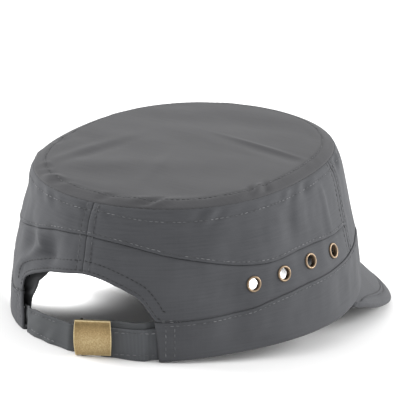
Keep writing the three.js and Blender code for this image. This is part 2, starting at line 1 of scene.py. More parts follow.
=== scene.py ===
"""Patrol cap of thin grey quick-dry cloth, with antique brass buckle and eyelets: its looks.

The cap's own frame is in millimetres, +Z up from the rim, +Y to the peak, and angles go round the
crown from the front, positive to the wearer's right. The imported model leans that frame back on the
table, and cap_to_row works out how far from the model's own boxes.
"""
import math

import bmesh
import bpy
import numpy as np
from mathutils import Matrix, Vector


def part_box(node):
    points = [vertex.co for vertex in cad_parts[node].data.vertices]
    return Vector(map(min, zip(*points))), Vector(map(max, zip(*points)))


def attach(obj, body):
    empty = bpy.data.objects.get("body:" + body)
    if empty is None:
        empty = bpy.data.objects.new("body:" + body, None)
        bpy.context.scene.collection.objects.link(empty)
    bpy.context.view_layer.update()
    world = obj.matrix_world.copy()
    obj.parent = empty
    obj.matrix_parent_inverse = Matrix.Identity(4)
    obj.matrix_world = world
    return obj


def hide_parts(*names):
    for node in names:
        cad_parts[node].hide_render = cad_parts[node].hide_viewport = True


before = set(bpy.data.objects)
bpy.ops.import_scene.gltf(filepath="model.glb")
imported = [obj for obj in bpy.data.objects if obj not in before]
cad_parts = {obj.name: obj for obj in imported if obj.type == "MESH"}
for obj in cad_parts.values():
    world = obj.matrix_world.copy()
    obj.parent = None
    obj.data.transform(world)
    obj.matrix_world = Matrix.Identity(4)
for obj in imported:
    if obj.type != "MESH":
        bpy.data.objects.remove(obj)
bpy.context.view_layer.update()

MM = 0.001
rng = np.random.default_rng(7)

# Crown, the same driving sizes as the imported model
RIM = dict(half_width=86.8, front=102.7, back=101.2, pinch=0.046)
TOP = dict(half_width=67.0, front=82.7, back=81.9, pinch=-0.033)
CROWN_HEIGHT = 68.6
TOP_TILT = -0.022
KNEE_HEIGHT_SHARE = 0.358
KNEE_IN_SHARE = 0.179
SHOULDER_SHARE = 0.293
WALL_HOLLOW = 0.066

# The top panel's rolled shoulder outside its stitching, and its dome
TOP_SHOULDER = 2.4
TOP_SHOULDER_WIDTH = 6.0
TOP_SHOULDER_CURVE = 1.25
TOP_DOME = 1.4
TOP_STEPS = 300

# Cloth and seams
CLOTH = 1.1
BAND_CLOTH = 1.6
SWEAT_CLOTH = 1.0
SEAM_ROLL = 0.8
SEAM_PROUD = 0.35

# Band, sweatband and rear arch
BAND_HEIGHT = 24.6
BAND_OVERHANG = 0.5
BAND_THICKNESS = 2.0
SWEAT_HEIGHT = 27.0
SWEAT_RISE = 1.4
SWEAT_END = 150.0
SWEAT_TAIL_HEM = 3.5
ARCH_HALF = 23.5
ARCH_LEFT_HALF = 27.6
ARCH_HEIGHT = 38.2
BAND_LEFT_END = (23.6, 27.8)
BAND_RIGHT_END_HIGH = 22.2
FRONT_SEAM_HIGH = 67.5
FRONT_SEAM_LOW = 74.3

# Straps, buckle and eyelets
STRAP_WIDTH = 15.3
STRAP_THICKNESS = 1.3
STRAP_HIDDEN = 5.0
BUCKLE_WIDTH = 16.7
BUCKLE_HEIGHT = 17.6
BUCKLE_SHEET = 0.9
BUCKLE_ANGLE = 174.3
BUCKLE_YAW = 15.5
BUCKLE_PROUD = 1.5
BUCKLE_DEPTH = 1.6
BUCKLE_BOW = 1.0
BUCKLE_BARREL = 0.5
TAIL_RISE = 2.9
STRAP_BULGE = 0.2
STRAP_TURN_OUT = 0.2
STRAP_BULGE_REACH = 14.0
EYELET_HOLE = 2.75
EYELET_RIM = 3.9
EYELET_STEPS = 40

# Stitch rows, in millimetres from the seam or edge that they follow
WAVE_ROW = 1.6
FRONT_ROW = 3.3
UPRIGHT_ROW = 3.8
EDGE_ROW = 1.7
ARCH_ROWS = (1.8, 6.2)
BAND_END_ROWS = (3.2, 7.6)
STRAP_LOW_ROW = 3.2

# Lines of points along a sheet's edges, and how far apart the others are along the side panels
EDGE_LINES = (0.0, 0.12, 0.35, 0.8)
SIDE_STEP = 1.15

# Peak
PEAK_HALF = 74.6
PEAK_LENGTH = 53.1
PEAK_DROOP = 41.3
PEAK_SIDE_DROOP = 8.9
PEAK_FAN = 0.41
PEAK_ROUND = 1.48
PEAK_THICKNESS = 2.8
PEAK_ROOT_DROP = 1.5
PEAK_TIP = 2.2
PEAK_EDGE = 1.1
PEAK_GROOVE = 8.8
PEAK_GROOVE_DEPTH = 0.55
PEAK_RIDGE = 0.18
PEAK_SIDE_LIFT = 2.2
PEAK_SIDE_REACH = 1.2

# How far the rim and the peak's edge are pressed flat on the table
RIM_FLAT = 1.5
PEAK_FLAT = 0.5

# The photograph's camera about the cap's own frame, and its optical centre in the 400-pixel frame
PHOTO_PIXELS = 400
PHOTO_AZIMUTH = 31.206
PHOTO_ELEVATION = 21.156
PHOTO_ROLL = -0.409
PHOTO_DISTANCE = 1290.5
PHOTO_FOCAL_PIXELS = 2612.4
PHOTO_CENTRE_PIXEL = (185.67, 207.66)
PHOTO_TARGET_HEIGHT = 40.0

# Seam lines: degrees round the crown, and a share of the size in the table's comment
WAVE_SEAM = [  # of CROWN_HEIGHT
    (60, 0.548), (74, 0.551), (88, 0.57), (97, 0.588), (106, 0.588), (119, 0.572), (131, 0.6),
    (144, 0.665), (155, 0.722), (168, 0.79), (180, 0.818),
]
BAND_SEAM = [  # of BAND_HEIGHT
    (0, 1.0), (88, 0.995), (102, 0.985), (112, 0.94), (120, 0.88), (128, 0.8), (138, 0.762),
    (157, 0.758), (180, 0.758),
]
LEFT_BAND_SEAM = [  # of BAND_HEIGHT
    (0, 1.0), (84, 1.0), (102, 0.93), (118, 0.74), (130, 0.57), (140, 0.54), (146, 0.6),
    (154, 0.695), (162, 0.73), (180, 0.758),
]
LEFT_RIM_SAG = [  # of BAND_HEIGHT, down towards the table
    (78, 0.0), (95, 0.04), (115, 0.11), (130, 0.16), (140, 0.15), (146, 0.095), (151, 0.06),
    (157, 0.02), (166, 0.0),
]
ARCH_EDGE = [  # share of its side's half angle from the centre back, share of ARCH_HEIGHT
    (0, 1.0), (0.14, 0.994), (0.28, 0.969), (0.45, 0.916), (0.6, 0.856), (0.77, 0.754),
    (0.86, 0.644), (0.94, 0.524), (1, 0.48),
]
LEFT_ARCH_EDGE = [
    (0, 1.0), (0.1, 0.982), (0.28, 0.942), (0.45, 0.898), (0.6, 0.835), (0.77, 0.754),
    (0.86, 0.7), (0.94, 0.625), (1, 0.49),
]
STRAP_TOP_LEFT = [  # degrees to the left of the centre back, share of STRAP_WIDTH
    (-5, 1.0), (0, 0.97), (10, 0.94), (17, 0.876), (25, 0.712), (32, 0.62),
]
SWEAT_TAIL = [  # share of SWEAT_HEIGHT, degrees to the left of the centre back
    (0.27, 26.5), (0.5, 27.4), (0.56, 27.2), (0.65, 24), (0.76, 22.5), (0.88, 22), (0.96, 21.3),
    (1.03, 19.7), (1.1, 18), (1.25, 16),
]
WALL_STITCH_LINE = [  # millimetres below the crown seam, round the right side
    (0, 3.4), (60, 3.3), (85, 3.5), (100, 4.0), (115, 4.5), (132, 5.2), (160, 5.1), (172, 3.6),
    (180, 2.7),
]
EYELETS = [  # angle on the right, angle on the left, share of the way from band seam to wave seam
    (126.5, -113, 0.56), (114.3, -103, 0.575), (101.5, -93, 0.57), (87.5, -83, 0.53),
]

# Folds of the crown wall: angle, height, long, wide (shares of CROWN_HEIGHT), lean in degrees, and
# depth in millimetres, outwards when positive
FOLDS = [
    dict(angle=-153, height=0.62, long=0.12, wide=0.09, turn=20, depth=-2.5),
    dict(angle=-154.3, height=0.5, long=0.2, wide=0.045, turn=-51, depth=2.1),
    dict(angle=-161, height=0.678, long=0.08, wide=0.03, turn=55, depth=1.6),
    dict(angle=-166.5, height=0.66, long=0.11, wide=0.08, turn=0, depth=-2.8),
    dict(angle=-164.5, height=0.598, long=0.085, wide=0.03, turn=90, depth=-1.9),
    dict(angle=-134, height=0.86, long=0.13, wide=0.45, turn=0, depth=-1.6),
    dict(angle=85.5, height=0.76, long=0.3, wide=0.05, turn=-4, depth=0.95),
    dict(angle=96, height=0.72, long=0.2, wide=0.09, turn=0, depth=-0.4),
    dict(angle=108, height=0.78, long=0.17, wide=0.075, turn=0, depth=-1.2),
    dict(angle=118, height=0.77, long=0.25, wide=0.12, turn=0, depth=0.5),
    dict(angle=93, height=0.5, long=0.12, wide=0.1, turn=40, depth=0.8),
    dict(angle=137, height=0.46, long=0.2, wide=0.2, turn=60, depth=-0.9),
    dict(angle=150, height=0.42, long=0.2, wide=0.14, turn=45, depth=0.8),
    dict(angle=134, height=0.17, long=0.16, wide=0.09, turn=4, depth=-0.64),
    dict(angle=86, height=0.2, long=0.2, wide=0.09, turn=10, depth=-0.72),
    dict(angle=-88, height=0.66, long=0.3, wide=0.09, turn=8, depth=-1.2),
    dict(angle=-112, height=0.6, long=0.25, wide=0.14, turn=30, depth=1.0),
    dict(angle=-42, height=0.62, long=0.3, wide=0.1, turn=-10, depth=-1.0),
    dict(angle=38, height=0.66, long=0.28, wide=0.1, turn=12, depth=-1.0),
    dict(angle=-4, height=0.58, long=0.3, wide=0.3, turn=0, depth=1.0),
]
RIM_STEADY = 5.7
TOP_STEADY = 8.6

# Creases of the top panel: place and size as shares of TOP's half width, lean in degrees, depth in mm
TOP_FOLDS = [
    dict(x=0.52, y=0.29, long=0.36, wide=0.024, turn=-10, depth=0.6),
    dict(x=0.55, y=0.22, long=0.4, wide=0.06, turn=-10, depth=-0.6),
    dict(x=-0.6, y=-0.45, long=0.36, wide=0.06, turn=75, depth=0.7),
    dict(x=-0.5, y=-0.42, long=0.36, wide=0.07, turn=75, depth=-0.5),
    dict(x=0.06, y=-0.48, long=0.36, wide=0.06, turn=103, depth=0.45),
    dict(x=-0.3, y=-0.62, long=0.5, wide=0.14, turn=24, depth=0.64),
    dict(x=0.1, y=0.68, long=0.6, wide=0.16, turn=8, depth=-0.6),
]


# Reading the tables

def read_table(table, at):
    """A smooth curve through a table's rows, read at an array of places."""
    keys = np.array([row[0] for row in table], float)
    values = np.array([row[1] for row in table], float)
    slopes = np.gradient(values, keys)
    at = np.clip(np.asarray(at, float), keys[0], keys[-1])
    i = np.clip(np.searchsorted(keys, at, side="right") - 1, 0, len(keys) - 2)
    span = keys[i + 1] - keys[i]
    t = (at - keys[i]) / span
    rise = t * t * (3 - 2 * t)
    leave = slopes[i] * span * t * (1 - t) ** 2
    arrive = slopes[i + 1] * span * t * t * (1 - t)
    return values[i] + (values[i + 1] - values[i]) * rise + leave - arrive


def degrees_round(angle):
    """Degrees from the front, the same on both sides."""
    turn = np.degrees(np.asarray(angle, float))
    return np.abs((turn + 180) % 360 - 180)


def wave_height(angle):
    return CROWN_HEIGHT * read_table(WAVE_SEAM, degrees_round(angle))


def is_left(angle):
    return np.sin(angle) < 0


def band_top(angle):
    turn = degrees_round(angle)
    share = np.where(is_left(angle), read_table(LEFT_BAND_SEAM, turn), read_table(BAND_SEAM, turn))
    return BAND_HEIGHT * share


def arch_half(angle):
    return np.where(is_left(angle), ARCH_LEFT_HALF, ARCH_HALF)


def arch_height(angle):
    turn = (180 - degrees_round(angle)) / arch_half(angle)
    share = np.where(is_left(angle), read_table(LEFT_ARCH_EDGE, turn), read_table(ARCH_EDGE, turn))
    return ARCH_HEIGHT * share


def lower_edge(angle):
    """The lower edge of the side panels: the band seam, then the arch."""
    over_band = band_top(angle)
    in_arch = 180 - degrees_round(angle) < arch_half(angle)
    return np.where(in_arch, np.maximum(over_band, arch_height(angle)), over_band)


def front_seam(height):
    share = np.clip((height - BAND_HEIGHT) / (CROWN_HEIGHT - BAND_HEIGHT), 0, 1)
    return np.radians(FRONT_SEAM_LOW + (FRONT_SEAM_HIGH - FRONT_SEAM_LOW) * share)


def smoothstep(value, low, high):
    t = np.clip((value - low) / (high - low), 0, 1)
    return t * t * (3 - 2 * t)


def turn_from(place, angle):
    """The turn from a place to an angle, the short way round."""
    return (angle - place + math.pi) % (2 * math.pi) - math.pi


# The crown's surface

def oval(angle, half_width, front, back, pinch):
    across, along = np.sin(angle), np.cos(angle)
    length = np.where(along > 0, front, back)
    radius = (1 - pinch * (1 - np.cos(4 * angle)) / 2) / np.hypot(across / half_width, along / length)
    return np.stack([radius * across, radius * along], -1)


def seam_height(y):
    return CROWN_HEIGHT + TOP_TILT * y


def draw_in(share):
    s = np.clip((share - KNEE_HEIGHT_SHARE) / (1 - KNEE_HEIGHT_SHARE), 0, 1)
    lean = (1 - SHOULDER_SHARE) * s + SHOULDER_SHARE * s ** 8 + WALL_HOLLOW * 4 * s * (1 - s)
    upper = KNEE_IN_SHARE + (1 - KNEE_IN_SHARE) * lean
    return np.where(share < KNEE_HEIGHT_SHARE, KNEE_IN_SHARE * share / KNEE_HEIGHT_SHARE, upper)


def sag(angle, height):
    """How far the soft rim sags at the rear left, less and less up the wall."""
    drop = BAND_HEIGHT * read_table(LEFT_RIM_SAG, degrees_round(angle))
    return np.where(is_left(angle), drop, 0) * np.clip(1 - height / CROWN_HEIGHT, 0, 1) ** 2


def smooth_wall(angle, height):
    angle = np.asarray(angle, float)
    height = np.broadcast_to(np.asarray(height, float), angle.shape)
    low, high = oval(angle, **RIM), oval(angle, **TOP)
    inward = draw_in(height / seam_height(high[..., 1]))[..., None]
    flat = low * (1 - inward) + high * inward
    return np.concatenate([flat, (height - sag(angle, height))[..., None]], -1)


def unit(vectors):
    return vectors / np.linalg.norm(vectors, axis=-1, keepdims=True)


def wall_normal(angle, height):
    step = 0.3
    turn = step / RIM["half_width"]
    along = smooth_wall(angle + turn, height) - smooth_wall(angle - turn, height)
    up = smooth_wall(angle, height) - smooth_wall(angle, height - step)
    return unit(np.cross(up, along))


def fold_shape(across, up, fold, size):
    lean = math.radians(fold["turn"])
    along = (across * math.sin(lean) + up * math.cos(lean)) / (fold["long"] * size)
    side = (across * math.cos(lean) - up * math.sin(lean)) / (fold["wide"] * size)
    return fold["depth"] * np.exp(-along ** 2 - side ** 2)


def eyelet_height(angle, share):
    return band_top(angle) * (1 - share) + wave_height(angle) * share


def near_eyelets(angle, height):
    """0 at an eyelet's centre, 1 well away from it."""
    away = np.ones_like(angle)
    for right, left, share in EYELETS:
        for place in (math.radians(right), math.radians(left)):
            across = turn_from(place, angle) * RIM["half_width"]
            up = height - eyelet_height(place, share)
            away = away * (1 - np.exp(-(np.hypot(across, up) / (2 * EYELET_RIM)) ** 4))
    return away


class Ripples:
    """Gentle unevenness: a few sine waves of mixed length, direction and phase, in millimetres."""

    def __init__(self, count, shortest, longest, lean=0.0, spread=1.0):
        self.length = np.exp(rng.uniform(math.log(shortest), math.log(longest), count))
        self.turn = math.radians(lean) + spread * rng.uniform(-1, 1, count)
        self.phase = rng.uniform(0, 2 * math.pi, count)
        self.count = count

    def __call__(self, x, y):
        total = 0
        for length, turn, phase in zip(self.length, self.turn, self.phase):
            along = x * math.cos(turn) + y * math.sin(turn)
            total = total + np.sin(2 * math.pi * along / length + phase)
        return total / math.sqrt(self.count)


WALL_RIPPLES = Ripples(9, 16, 48, lean=20, spread=0.9)
FINE_RIPPLES = Ripples(9, 6, 13, lean=10, spread=0.7)
PUCKER_RIPPLES = Ripples(6, 9, 24, lean=0, spread=0.2)
PUCKER_PATCHES = Ripples(5, 22, 60, lean=0, spread=0.2)
TOP_RIPPLES = Ripples(9, 22, 60, lean=115, spread=0.6)

# Depth of the puckers beside the crown seam and of the gentle ripples, in millimetres
PUCKER_DEPTH = 0.62
WALL_RIPPLE_DEPTH = 0.22
FINE_RIPPLE_DEPTH = 0.05
TOP_RIPPLE_DEPTH = 0.16


def pucker_patches(along):
    """How strong the puckers are along the crown seam, which gathers more in some places."""
    return np.clip(0.5 + 0.6 * PUCKER_PATCHES(along, 0 * along), 0.0, 1.3)


def stitch_drop(angle):
    """How far the wall's upper stitching lies below the crown seam."""
    right = read_table(WALL_STITCH_LINE, degrees_round(angle))
    return np.where(is_left(angle), WALL_STITCH_LINE[0][1], right)


def wall_folds(angle, height):
    depth = np.zeros_like(angle)
    for fold in FOLDS:
        turn = turn_from(math.radians(fold["angle"]), angle)
        up = height - fold["height"] * CROWN_HEIGHT
        depth += fold_shape(turn * RIM["half_width"], up, fold, CROWN_HEIGHT)
    above_rim = np.clip(height / RIM_STEADY, 0, 1)
    below_top = np.clip((CROWN_HEIGHT - height) / TOP_STEADY, 0, 1)
    return depth * above_rim * below_top * near_eyelets(angle, height)


def wall_relief(angle, height):
    """Folds, ripples and the seam's puckers, in millimetres outwards."""
    along = angle * RIM["half_width"]
    top = seam_height(oval(angle, **TOP)[..., 1])
    drop = top - height
    steady = np.clip(height / RIM_STEADY, 0.15, 1) * np.clip(drop / TOP_STEADY, 0, 1)
    ripple = WALL_RIPPLE_DEPTH * WALL_RIPPLES(along, height)
    ripple = ripple + FINE_RIPPLE_DEPTH * FINE_RIPPLES(along, height)
    stitched = stitch_drop(angle)
    strip = smoothstep(drop, 0.2, 2.4) * (1 - smoothstep(drop, stitched, stitched + 6))
    pucker = PUCKER_DEPTH * pucker_patches(along) * strip
    lean = np.where(is_left(angle), 1.0, np.where(degrees_round(angle) > 150, 1.0, -1.0))
    return (wall_folds(angle, height) + ripple * steady * near_eyelets(angle, height)
            + pucker * PUCKER_RIPPLES(along + 1.1 * lean * drop, 0 * drop))


def wall(angle, height, out=0.0):
    angle = np.asarray(angle, float)
    height = np.broadcast_to(np.asarray(height, float), angle.shape)
    normal = wall_normal(angle, height)
    return smooth_wall(angle, height) + normal * (wall_relief(angle, height) + out)[..., None]


def top_surface(angle, radius):
    """The top panel, at an angle and a share of the way from its centre to the seam."""
    edge = oval(angle, **TOP)
    flat = edge * radius[..., None]
    x, y = flat[..., 0], flat[..., 1]
    inset = (1 - radius) * np.linalg.norm(edge, axis=-1)
    shoulder = 1 - np.clip(1 - inset / TOP_SHOULDER_WIDTH, 0, 1) ** TOP_SHOULDER_CURVE
    lift = TOP_SHOULDER * shoulder + TOP_DOME * (1 - radius ** 2)
    inner = np.clip((inset - TOP_SHOULDER_WIDTH) / TOP_SHOULDER_WIDTH, 0, 1)
    for fold in TOP_FOLDS:
        size = TOP["half_width"]
        lift = lift + inner * fold_shape(y - fold["y"] * size, x - fold["x"] * size, fold, size)
    lift = lift + inner * TOP_RIPPLE_DEPTH * TOP_RIPPLES(x, y)
    along = angle * TOP["half_width"]
    strip = smoothstep(inset, 0.3, 3.2)
    strip = strip * (1 - smoothstep(inset, TOP_SHOULDER_WIDTH, TOP_SHOULDER_WIDTH + 4))
    pucker = PUCKER_DEPTH * pucker_patches(along) * strip * np.clip(-np.cos(angle) + 0.35, 0.12, 1)
    lift = lift + pucker * PUCKER_RIPPLES(along * 1.12 + inset, 0 * inset)
    return np.stack([x, y, seam_height(y) + lift], -1)


# The peak, and how the cap lies

def peak_face(across, out_of, depth):
    """The peak's surface: a share across, a function from its length there to the reach, a depth."""
    angle = math.radians(PEAK_HALF) * across
    root = oval(angle, **RIM)
    round_off = 1 - np.abs(across) ** PEAK_ROUND
    length = np.maximum(PEAK_LENGTH * np.clip(round_off, 0, 1) ** (1 / PEAK_ROUND), PEAK_TIP)
    droop = np.radians(PEAK_DROOP + PEAK_SIDE_DROOP * across ** 2)
    heading = PEAK_FAN * angle
    reach = out_of(length) - BAND_THICKNESS / 2
    across_by, along_by = np.sin(heading), np.cos(heading)
    ahead = np.stack([across_by * np.cos(droop), along_by * np.cos(droop), -np.sin(droop)], -1)
    under = np.stack([-across_by * np.sin(droop), -along_by * np.sin(droop), -np.cos(droop)], -1)
    base = np.concatenate([root, np.full_like(root[..., :1], -PEAK_ROOT_DROP)], -1)
    return base + ahead * reach[..., None] + under * np.broadcast_to(depth, reach.shape)[..., None]


def rest_slope():
    edge = peak_face(np.linspace(-1, 1, 81), lambda length: length - PEAK_EDGE, PEAK_THICKNESS)
    return float(np.max((RIM_FLAT - edge[:, 2] - PEAK_FLAT) / (edge[:, 1] + RIM["back"])))


SLOPE = rest_slope()


def table_height(y):
    return RIM_FLAT - SLOPE * (y + RIM["back"])


def cap_to_row():
    """The lean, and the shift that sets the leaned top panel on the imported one."""
    lean = Matrix.Rotation(math.atan(SLOPE), 4, "X")
    turn = np.array(lean.to_3x3())
    seam = oval(np.linspace(-math.pi, math.pi, 361), **TOP)
    seam = np.concatenate([seam, seam_height(seam[:, 1:])], 1) @ turn.T
    low, high = (np.array(corner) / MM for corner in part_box("top_panel"))
    below = (np.array([0, 0, -1.5]) @ turn.T)[2]
    shift = Vector(((low[0] + high[0]) / 2, (low[1] + high[1] - seam[:, 1].min() - seam[:, 1].max()) / 2,
                    low[2] - seam[:, 2].min() - below))
    return Matrix.Translation(shift) @ lean


CAP_TO_ROW = Matrix.Scale(MM, 4) @ cap_to_row()


def to_row(points, on_table=True):
    points = np.array(points, float)
    if on_table:
        points[..., 2] = np.maximum(points[..., 2], table_height(points[..., 1]))
    matrix = np.array(CAP_TO_ROW)
    return points @ matrix[:3, :3].T + matrix[:3, 3]


# Materials

def linear(code, alpha=1.0):
    """An sRGB hex colour as linear values."""
    parts = [int(code[i:i + 2], 16) / 255 for i in (1, 3, 5)]
    parts = [c / 12.92 if c <= 0.04045 else ((c + 0.055) / 1.055) ** 2.4 for c in parts]
    return (*parts, alpha)


def node(tree, kind, links=(), **settings):
    """Adds a node, sets its sockets and properties by name, and links its inputs."""
    made = tree.nodes.new(kind)
    for name, value in settings.items():
        if hasattr(made, name):
            setattr(made, name, value)
        else:
            made.inputs[name.replace("_", " ")].default_value = value
    for socket, source in links:
        tree.links.new(source, made.inputs[socket])
    return made


def new_material(name):
    material = bpy.data.materials.new(name)
    material.use_nodes = True
    tree = material.node_tree
    return material, tree, tree.nodes["Principled BSDF"]


def ramp(tree, source, stops):
    made = node(tree, "ShaderNodeValToRGB", [("Fac", source)])
    elements = made.color_ramp.elements
    while len(elements) < len(stops):
        elements.new(0.5)
    for element, (place, colour) in zip(elements, stops):
        element.position = place
        element.color = colour
    return made


def woven_cloth(name, light, dark, thread=0.9, streak=0.35, bump=0.12, roughness=0.78, sheen=0.05):
    """Plain-woven quick-dry polyamide cloth. Its threads are about 0.2 mm apart, too fine to show, so
    the weave is drawn at the spacing given, and slubs run along the weft as faint streaks."""
    material, tree, shader = new_material(name)
    place = node(tree, "ShaderNodeUVMap", uv_map="cloth").outputs["UV"]
    warp = node(tree, "ShaderNodeMapping", [("Vector", place)], Scale=(1 / thread, 1 / thread, 1))
    across = node(tree, "ShaderNodeTexWave", [("Vector", warp.outputs["Vector"])], wave_type="BANDS",
                  bands_direction="X", Scale=0.5, Distortion=0.6, Detail=1.0, Detail_Scale=1.5)
    upward = node(tree, "ShaderNodeTexWave", [("Vector", warp.outputs["Vector"])], wave_type="BANDS",
                  bands_direction="Y", Scale=0.5, Distortion=0.6, Detail=1.0, Detail_Scale=1.5)
    weave = node(tree, "ShaderNodeMath", [(0, across.outputs["Fac"]), (1, upward.outputs["Fac"])],
                 operation="MULTIPLY")
    slub_place = node(tree, "ShaderNodeMapping", [("Vector", place)], Scale=(0.05, 1.1, 1))
    slubs = node(tree, "ShaderNodeTexNoise", [("Vector", slub_place.outputs["Vector"])],
                 Scale=1.0, Detail=3.0, Roughness=0.6)
    cloud_place = node(tree, "ShaderNodeMapping", [("Vector", place)], Scale=(0.03, 0.04, 1))
    clouds = node(tree, "ShaderNodeTexNoise", [("Vector", cloud_place.outputs["Vector"])],
                  Scale=1.0, Detail=2.0, Roughness=0.5)
    tone = node(tree, "ShaderNodeMix", [("A", slubs.outputs["Fac"]), ("B", clouds.outputs["Fac"])],
                data_type="FLOAT", Factor=1 - streak)
    thread_tone = node(tree, "ShaderNodeMath", [(0, weave.outputs["Value"]), (1, tone.outputs["Result"])],
                       operation="MULTIPLY_ADD")
    thread_tone.inputs[1].default_value = 0.12
    tree.links.new(tone.outputs["Result"], thread_tone.inputs[2])
    colour = ramp(tree, thread_tone.outputs["Value"], [(0.36, linear(dark)), (0.68, linear(light))])
    tree.links.new(colour.outputs["Color"], shader.inputs["Base Color"])
    relief = node(tree, "ShaderNodeMath", [(0, weave.outputs["Value"]), (1, slubs.outputs["Fac"])],
                  operation="ADD")
    lift = node(tree, "ShaderNodeBump", [("Height", relief.outputs["Value"])],
                Strength=bump, Distance=0.0002)
    tree.links.new(lift.outputs["Normal"], shader.inputs["Normal"])
    shader.inputs["Roughness"].default_value = roughness
    shader.inputs["Specular IOR Level"].default_value = 0.25
    shader.inputs["Sheen Weight"].default_value = sheen
    shader.inputs["Sheen Roughness"].default_value = 0.5
    return material


def ribbed_strap(name, light, dark, rib=1.05):
    """Narrow woven strap cloth, its ribs running across the strap about a millimetre apart."""
    material, tree, shader = new_material(name)
    place = node(tree, "ShaderNodeUVMap", uv_map="cloth").outputs["UV"]
    scaled = node(tree, "ShaderNodeMapping", [("Vector", place)], Scale=(1 / rib, 0.2, 1))
    ribs = node(tree, "ShaderNodeTexWave", [("Vector", scaled.outputs["Vector"])], wave_type="BANDS",
                bands_direction="X", Scale=0.5, Distortion=0.8, Detail=2.0, Detail_Scale=1.0)
    colour = ramp(tree, ribs.outputs["Fac"], [(0.0, linear(dark)), (1.0, linear(light))])
    tree.links.new(colour.outputs["Color"], shader.inputs["Base Color"])
    lift = node(tree, "ShaderNodeBump", [("Height", ribs.outputs["Fac"])], Strength=0.25, Distance=0.0002)
    tree.links.new(lift.outputs["Normal"], shader.inputs["Normal"])
    shader.inputs["Roughness"].default_value = 0.8
    shader.inputs["Specular IOR Level"].default_value = 0.3
    shader.inputs["Sheen Weight"].default_value = 0.1
    return material


def antique_brass(name, bright, middle, dark, grain, contrast=0.9, roughness=0.42):
    """Stamped brass, darkened in a bath and tumbled: finely mottled, and lighter or darker by an attribute
    from 0 for the darkest to 1 for rubbed edges, which holds the patina and also painted shade and
    highlights."""
    material, tree, shader = new_material(name)
    place = node(tree, "ShaderNodeTexCoord").outputs["Object"]
    patina_and_painted_light = node(tree, "ShaderNodeAttribute", attribute_name="patina_and_painted_light")
    mottle = node(tree, "ShaderNodeTexNoise", [("Vector", place)], Scale=1 / grain, Detail=6.0,
                  Roughness=0.75)
    fine = node(tree, "ShaderNodeTexNoise", [("Vector", place)], Scale=5 / grain, Detail=3.0,
                Roughness=0.7)
    mixed = node(tree, "ShaderNodeMix", [("A", mottle.outputs["Fac"]), ("B", fine.outputs["Fac"])],
                 data_type="FLOAT", Factor=0.5)
    speckle = node(tree, "ShaderNodeMapRange", [("Value", mixed.outputs["Result"])],
                   From_Min=0.0, From_Max=1.0, To_Min=-contrast / 2, To_Max=contrast / 2)
    tone = node(tree, "ShaderNodeMath", [(0, speckle.outputs["Result"]), (1, patina_and_painted_light.outputs["Fac"])],
                operation="ADD")
    colour = ramp(tree, tone.outputs["Value"],
                  [(0.0, linear(dark)), (0.5, linear(middle)), (1.0, linear(bright))])
    tree.links.new(colour.outputs["Color"], shader.inputs["Base Color"])
    rough = node(tree, "ShaderNodeMapRange", [("Value", tone.outputs["Value"])],
                 From_Min=0.0, From_Max=1.0, To_Min=roughness + 0.12, To_Max=roughness - 0.06)
    tree.links.new(rough.outputs["Result"], shader.inputs["Roughness"])
    lift = node(tree, "ShaderNodeBump", [("Height", mixed.outputs["Result"])],
                Strength=0.2, Distance=0.0001)
    tree.links.new(lift.outputs["Normal"], shader.inputs["Normal"])
    shader.inputs["Metallic"].default_value = 0.9
    return material


CLOTH_FACE = woven_cloth("grey quick-dry polyamide cloth", "#46474a", "#3a3b3e", streak=0.5)
# The top panel is the same cloth as the walls, painted a touch darker: painted shade for the stronger light
# on top
TOP_FACE = woven_cloth("grey quick-dry polyamide cloth, top, painted shade", "#444446", "#39393b", streak=0.5,
                       sheen=0.06)
STRAP_FACE = woven_cloth("grey folded strap cloth", "#4a4c4e", "#3d3f41", thread=0.8)
STRAP_RIBBED = ribbed_strap("grey ribbed strap cloth", "#535558", "#3f4144")
# The inner band's colour is painted dark for the shade inside the crown: painted shade
SWEAT_FACE_SHADED = woven_cloth("dark inner band cloth", "#333436", "#27282a", roughness=0.85)
BUCKLE_BRASS = antique_brass("tumbled antique brass", "#e0cfa4", "#9a845d", "#5f4f34", grain=0.0008,
                             contrast=1.5)
EYELET_BRASS = antique_brass("antique brass eyelet", "#a8957c", "#877460", "#5a4c3e", grain=0.0016)
PIN_STEEL = antique_brass("darkened steel pin", "#6b6459", "#3b3732", "#1d1b19", grain=0.001)


def sewing_thread(name, light, dark):
    """Spun polyester thread, matt, each stitch a little lighter or darker than the next."""
    material, tree, shader = new_material(name)
    place = node(tree, "ShaderNodeTexCoord").outputs["Object"]
    patches = node(tree, "ShaderNodeTexNoise", [("Vector", place)], Scale=180.0, Detail=2.0)
    colour = ramp(tree, patches.outputs["Fac"], [(0.38, linear(dark)), (0.6, linear(light))])
    tree.links.new(colour.outputs["Color"], shader.inputs["Base Color"])
    shader.inputs["Roughness"].default_value = 0.7
    return material


THREAD = sewing_thread("grey spun polyester thread", "#6c6d6f", "#3c3d3f")
# A darker copy of the grey thread for the rows that lie in grooves: painted shade
THREAD_SHADED = sewing_thread("grey spun polyester thread, painted shade", "#5c5d5f", "#2e2f31")
# A near-black copy of the grey thread, for the rows in the seams' creases and along the arch's hem: painted
# shadow
THREAD_IN_SHADOW = sewing_thread("grey spun polyester thread, painted deep shade", "#2c2d2f", "#131415")


# Making pieces


def finish(bm, name, material, replaces=(), smooth=True):
    mesh = bpy.data.meshes.new(name)
    bm.to_mesh(mesh)
    bm.free()
    if smooth:
        mesh.shade_smooth()
    mesh.materials.append(material)
    piece = bpy.data.objects.new(name, mesh)
    bpy.context.scene.collection.objects.link(piece)
    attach(piece, "root")
    if replaces:
        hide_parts(*replaces)
    return piece


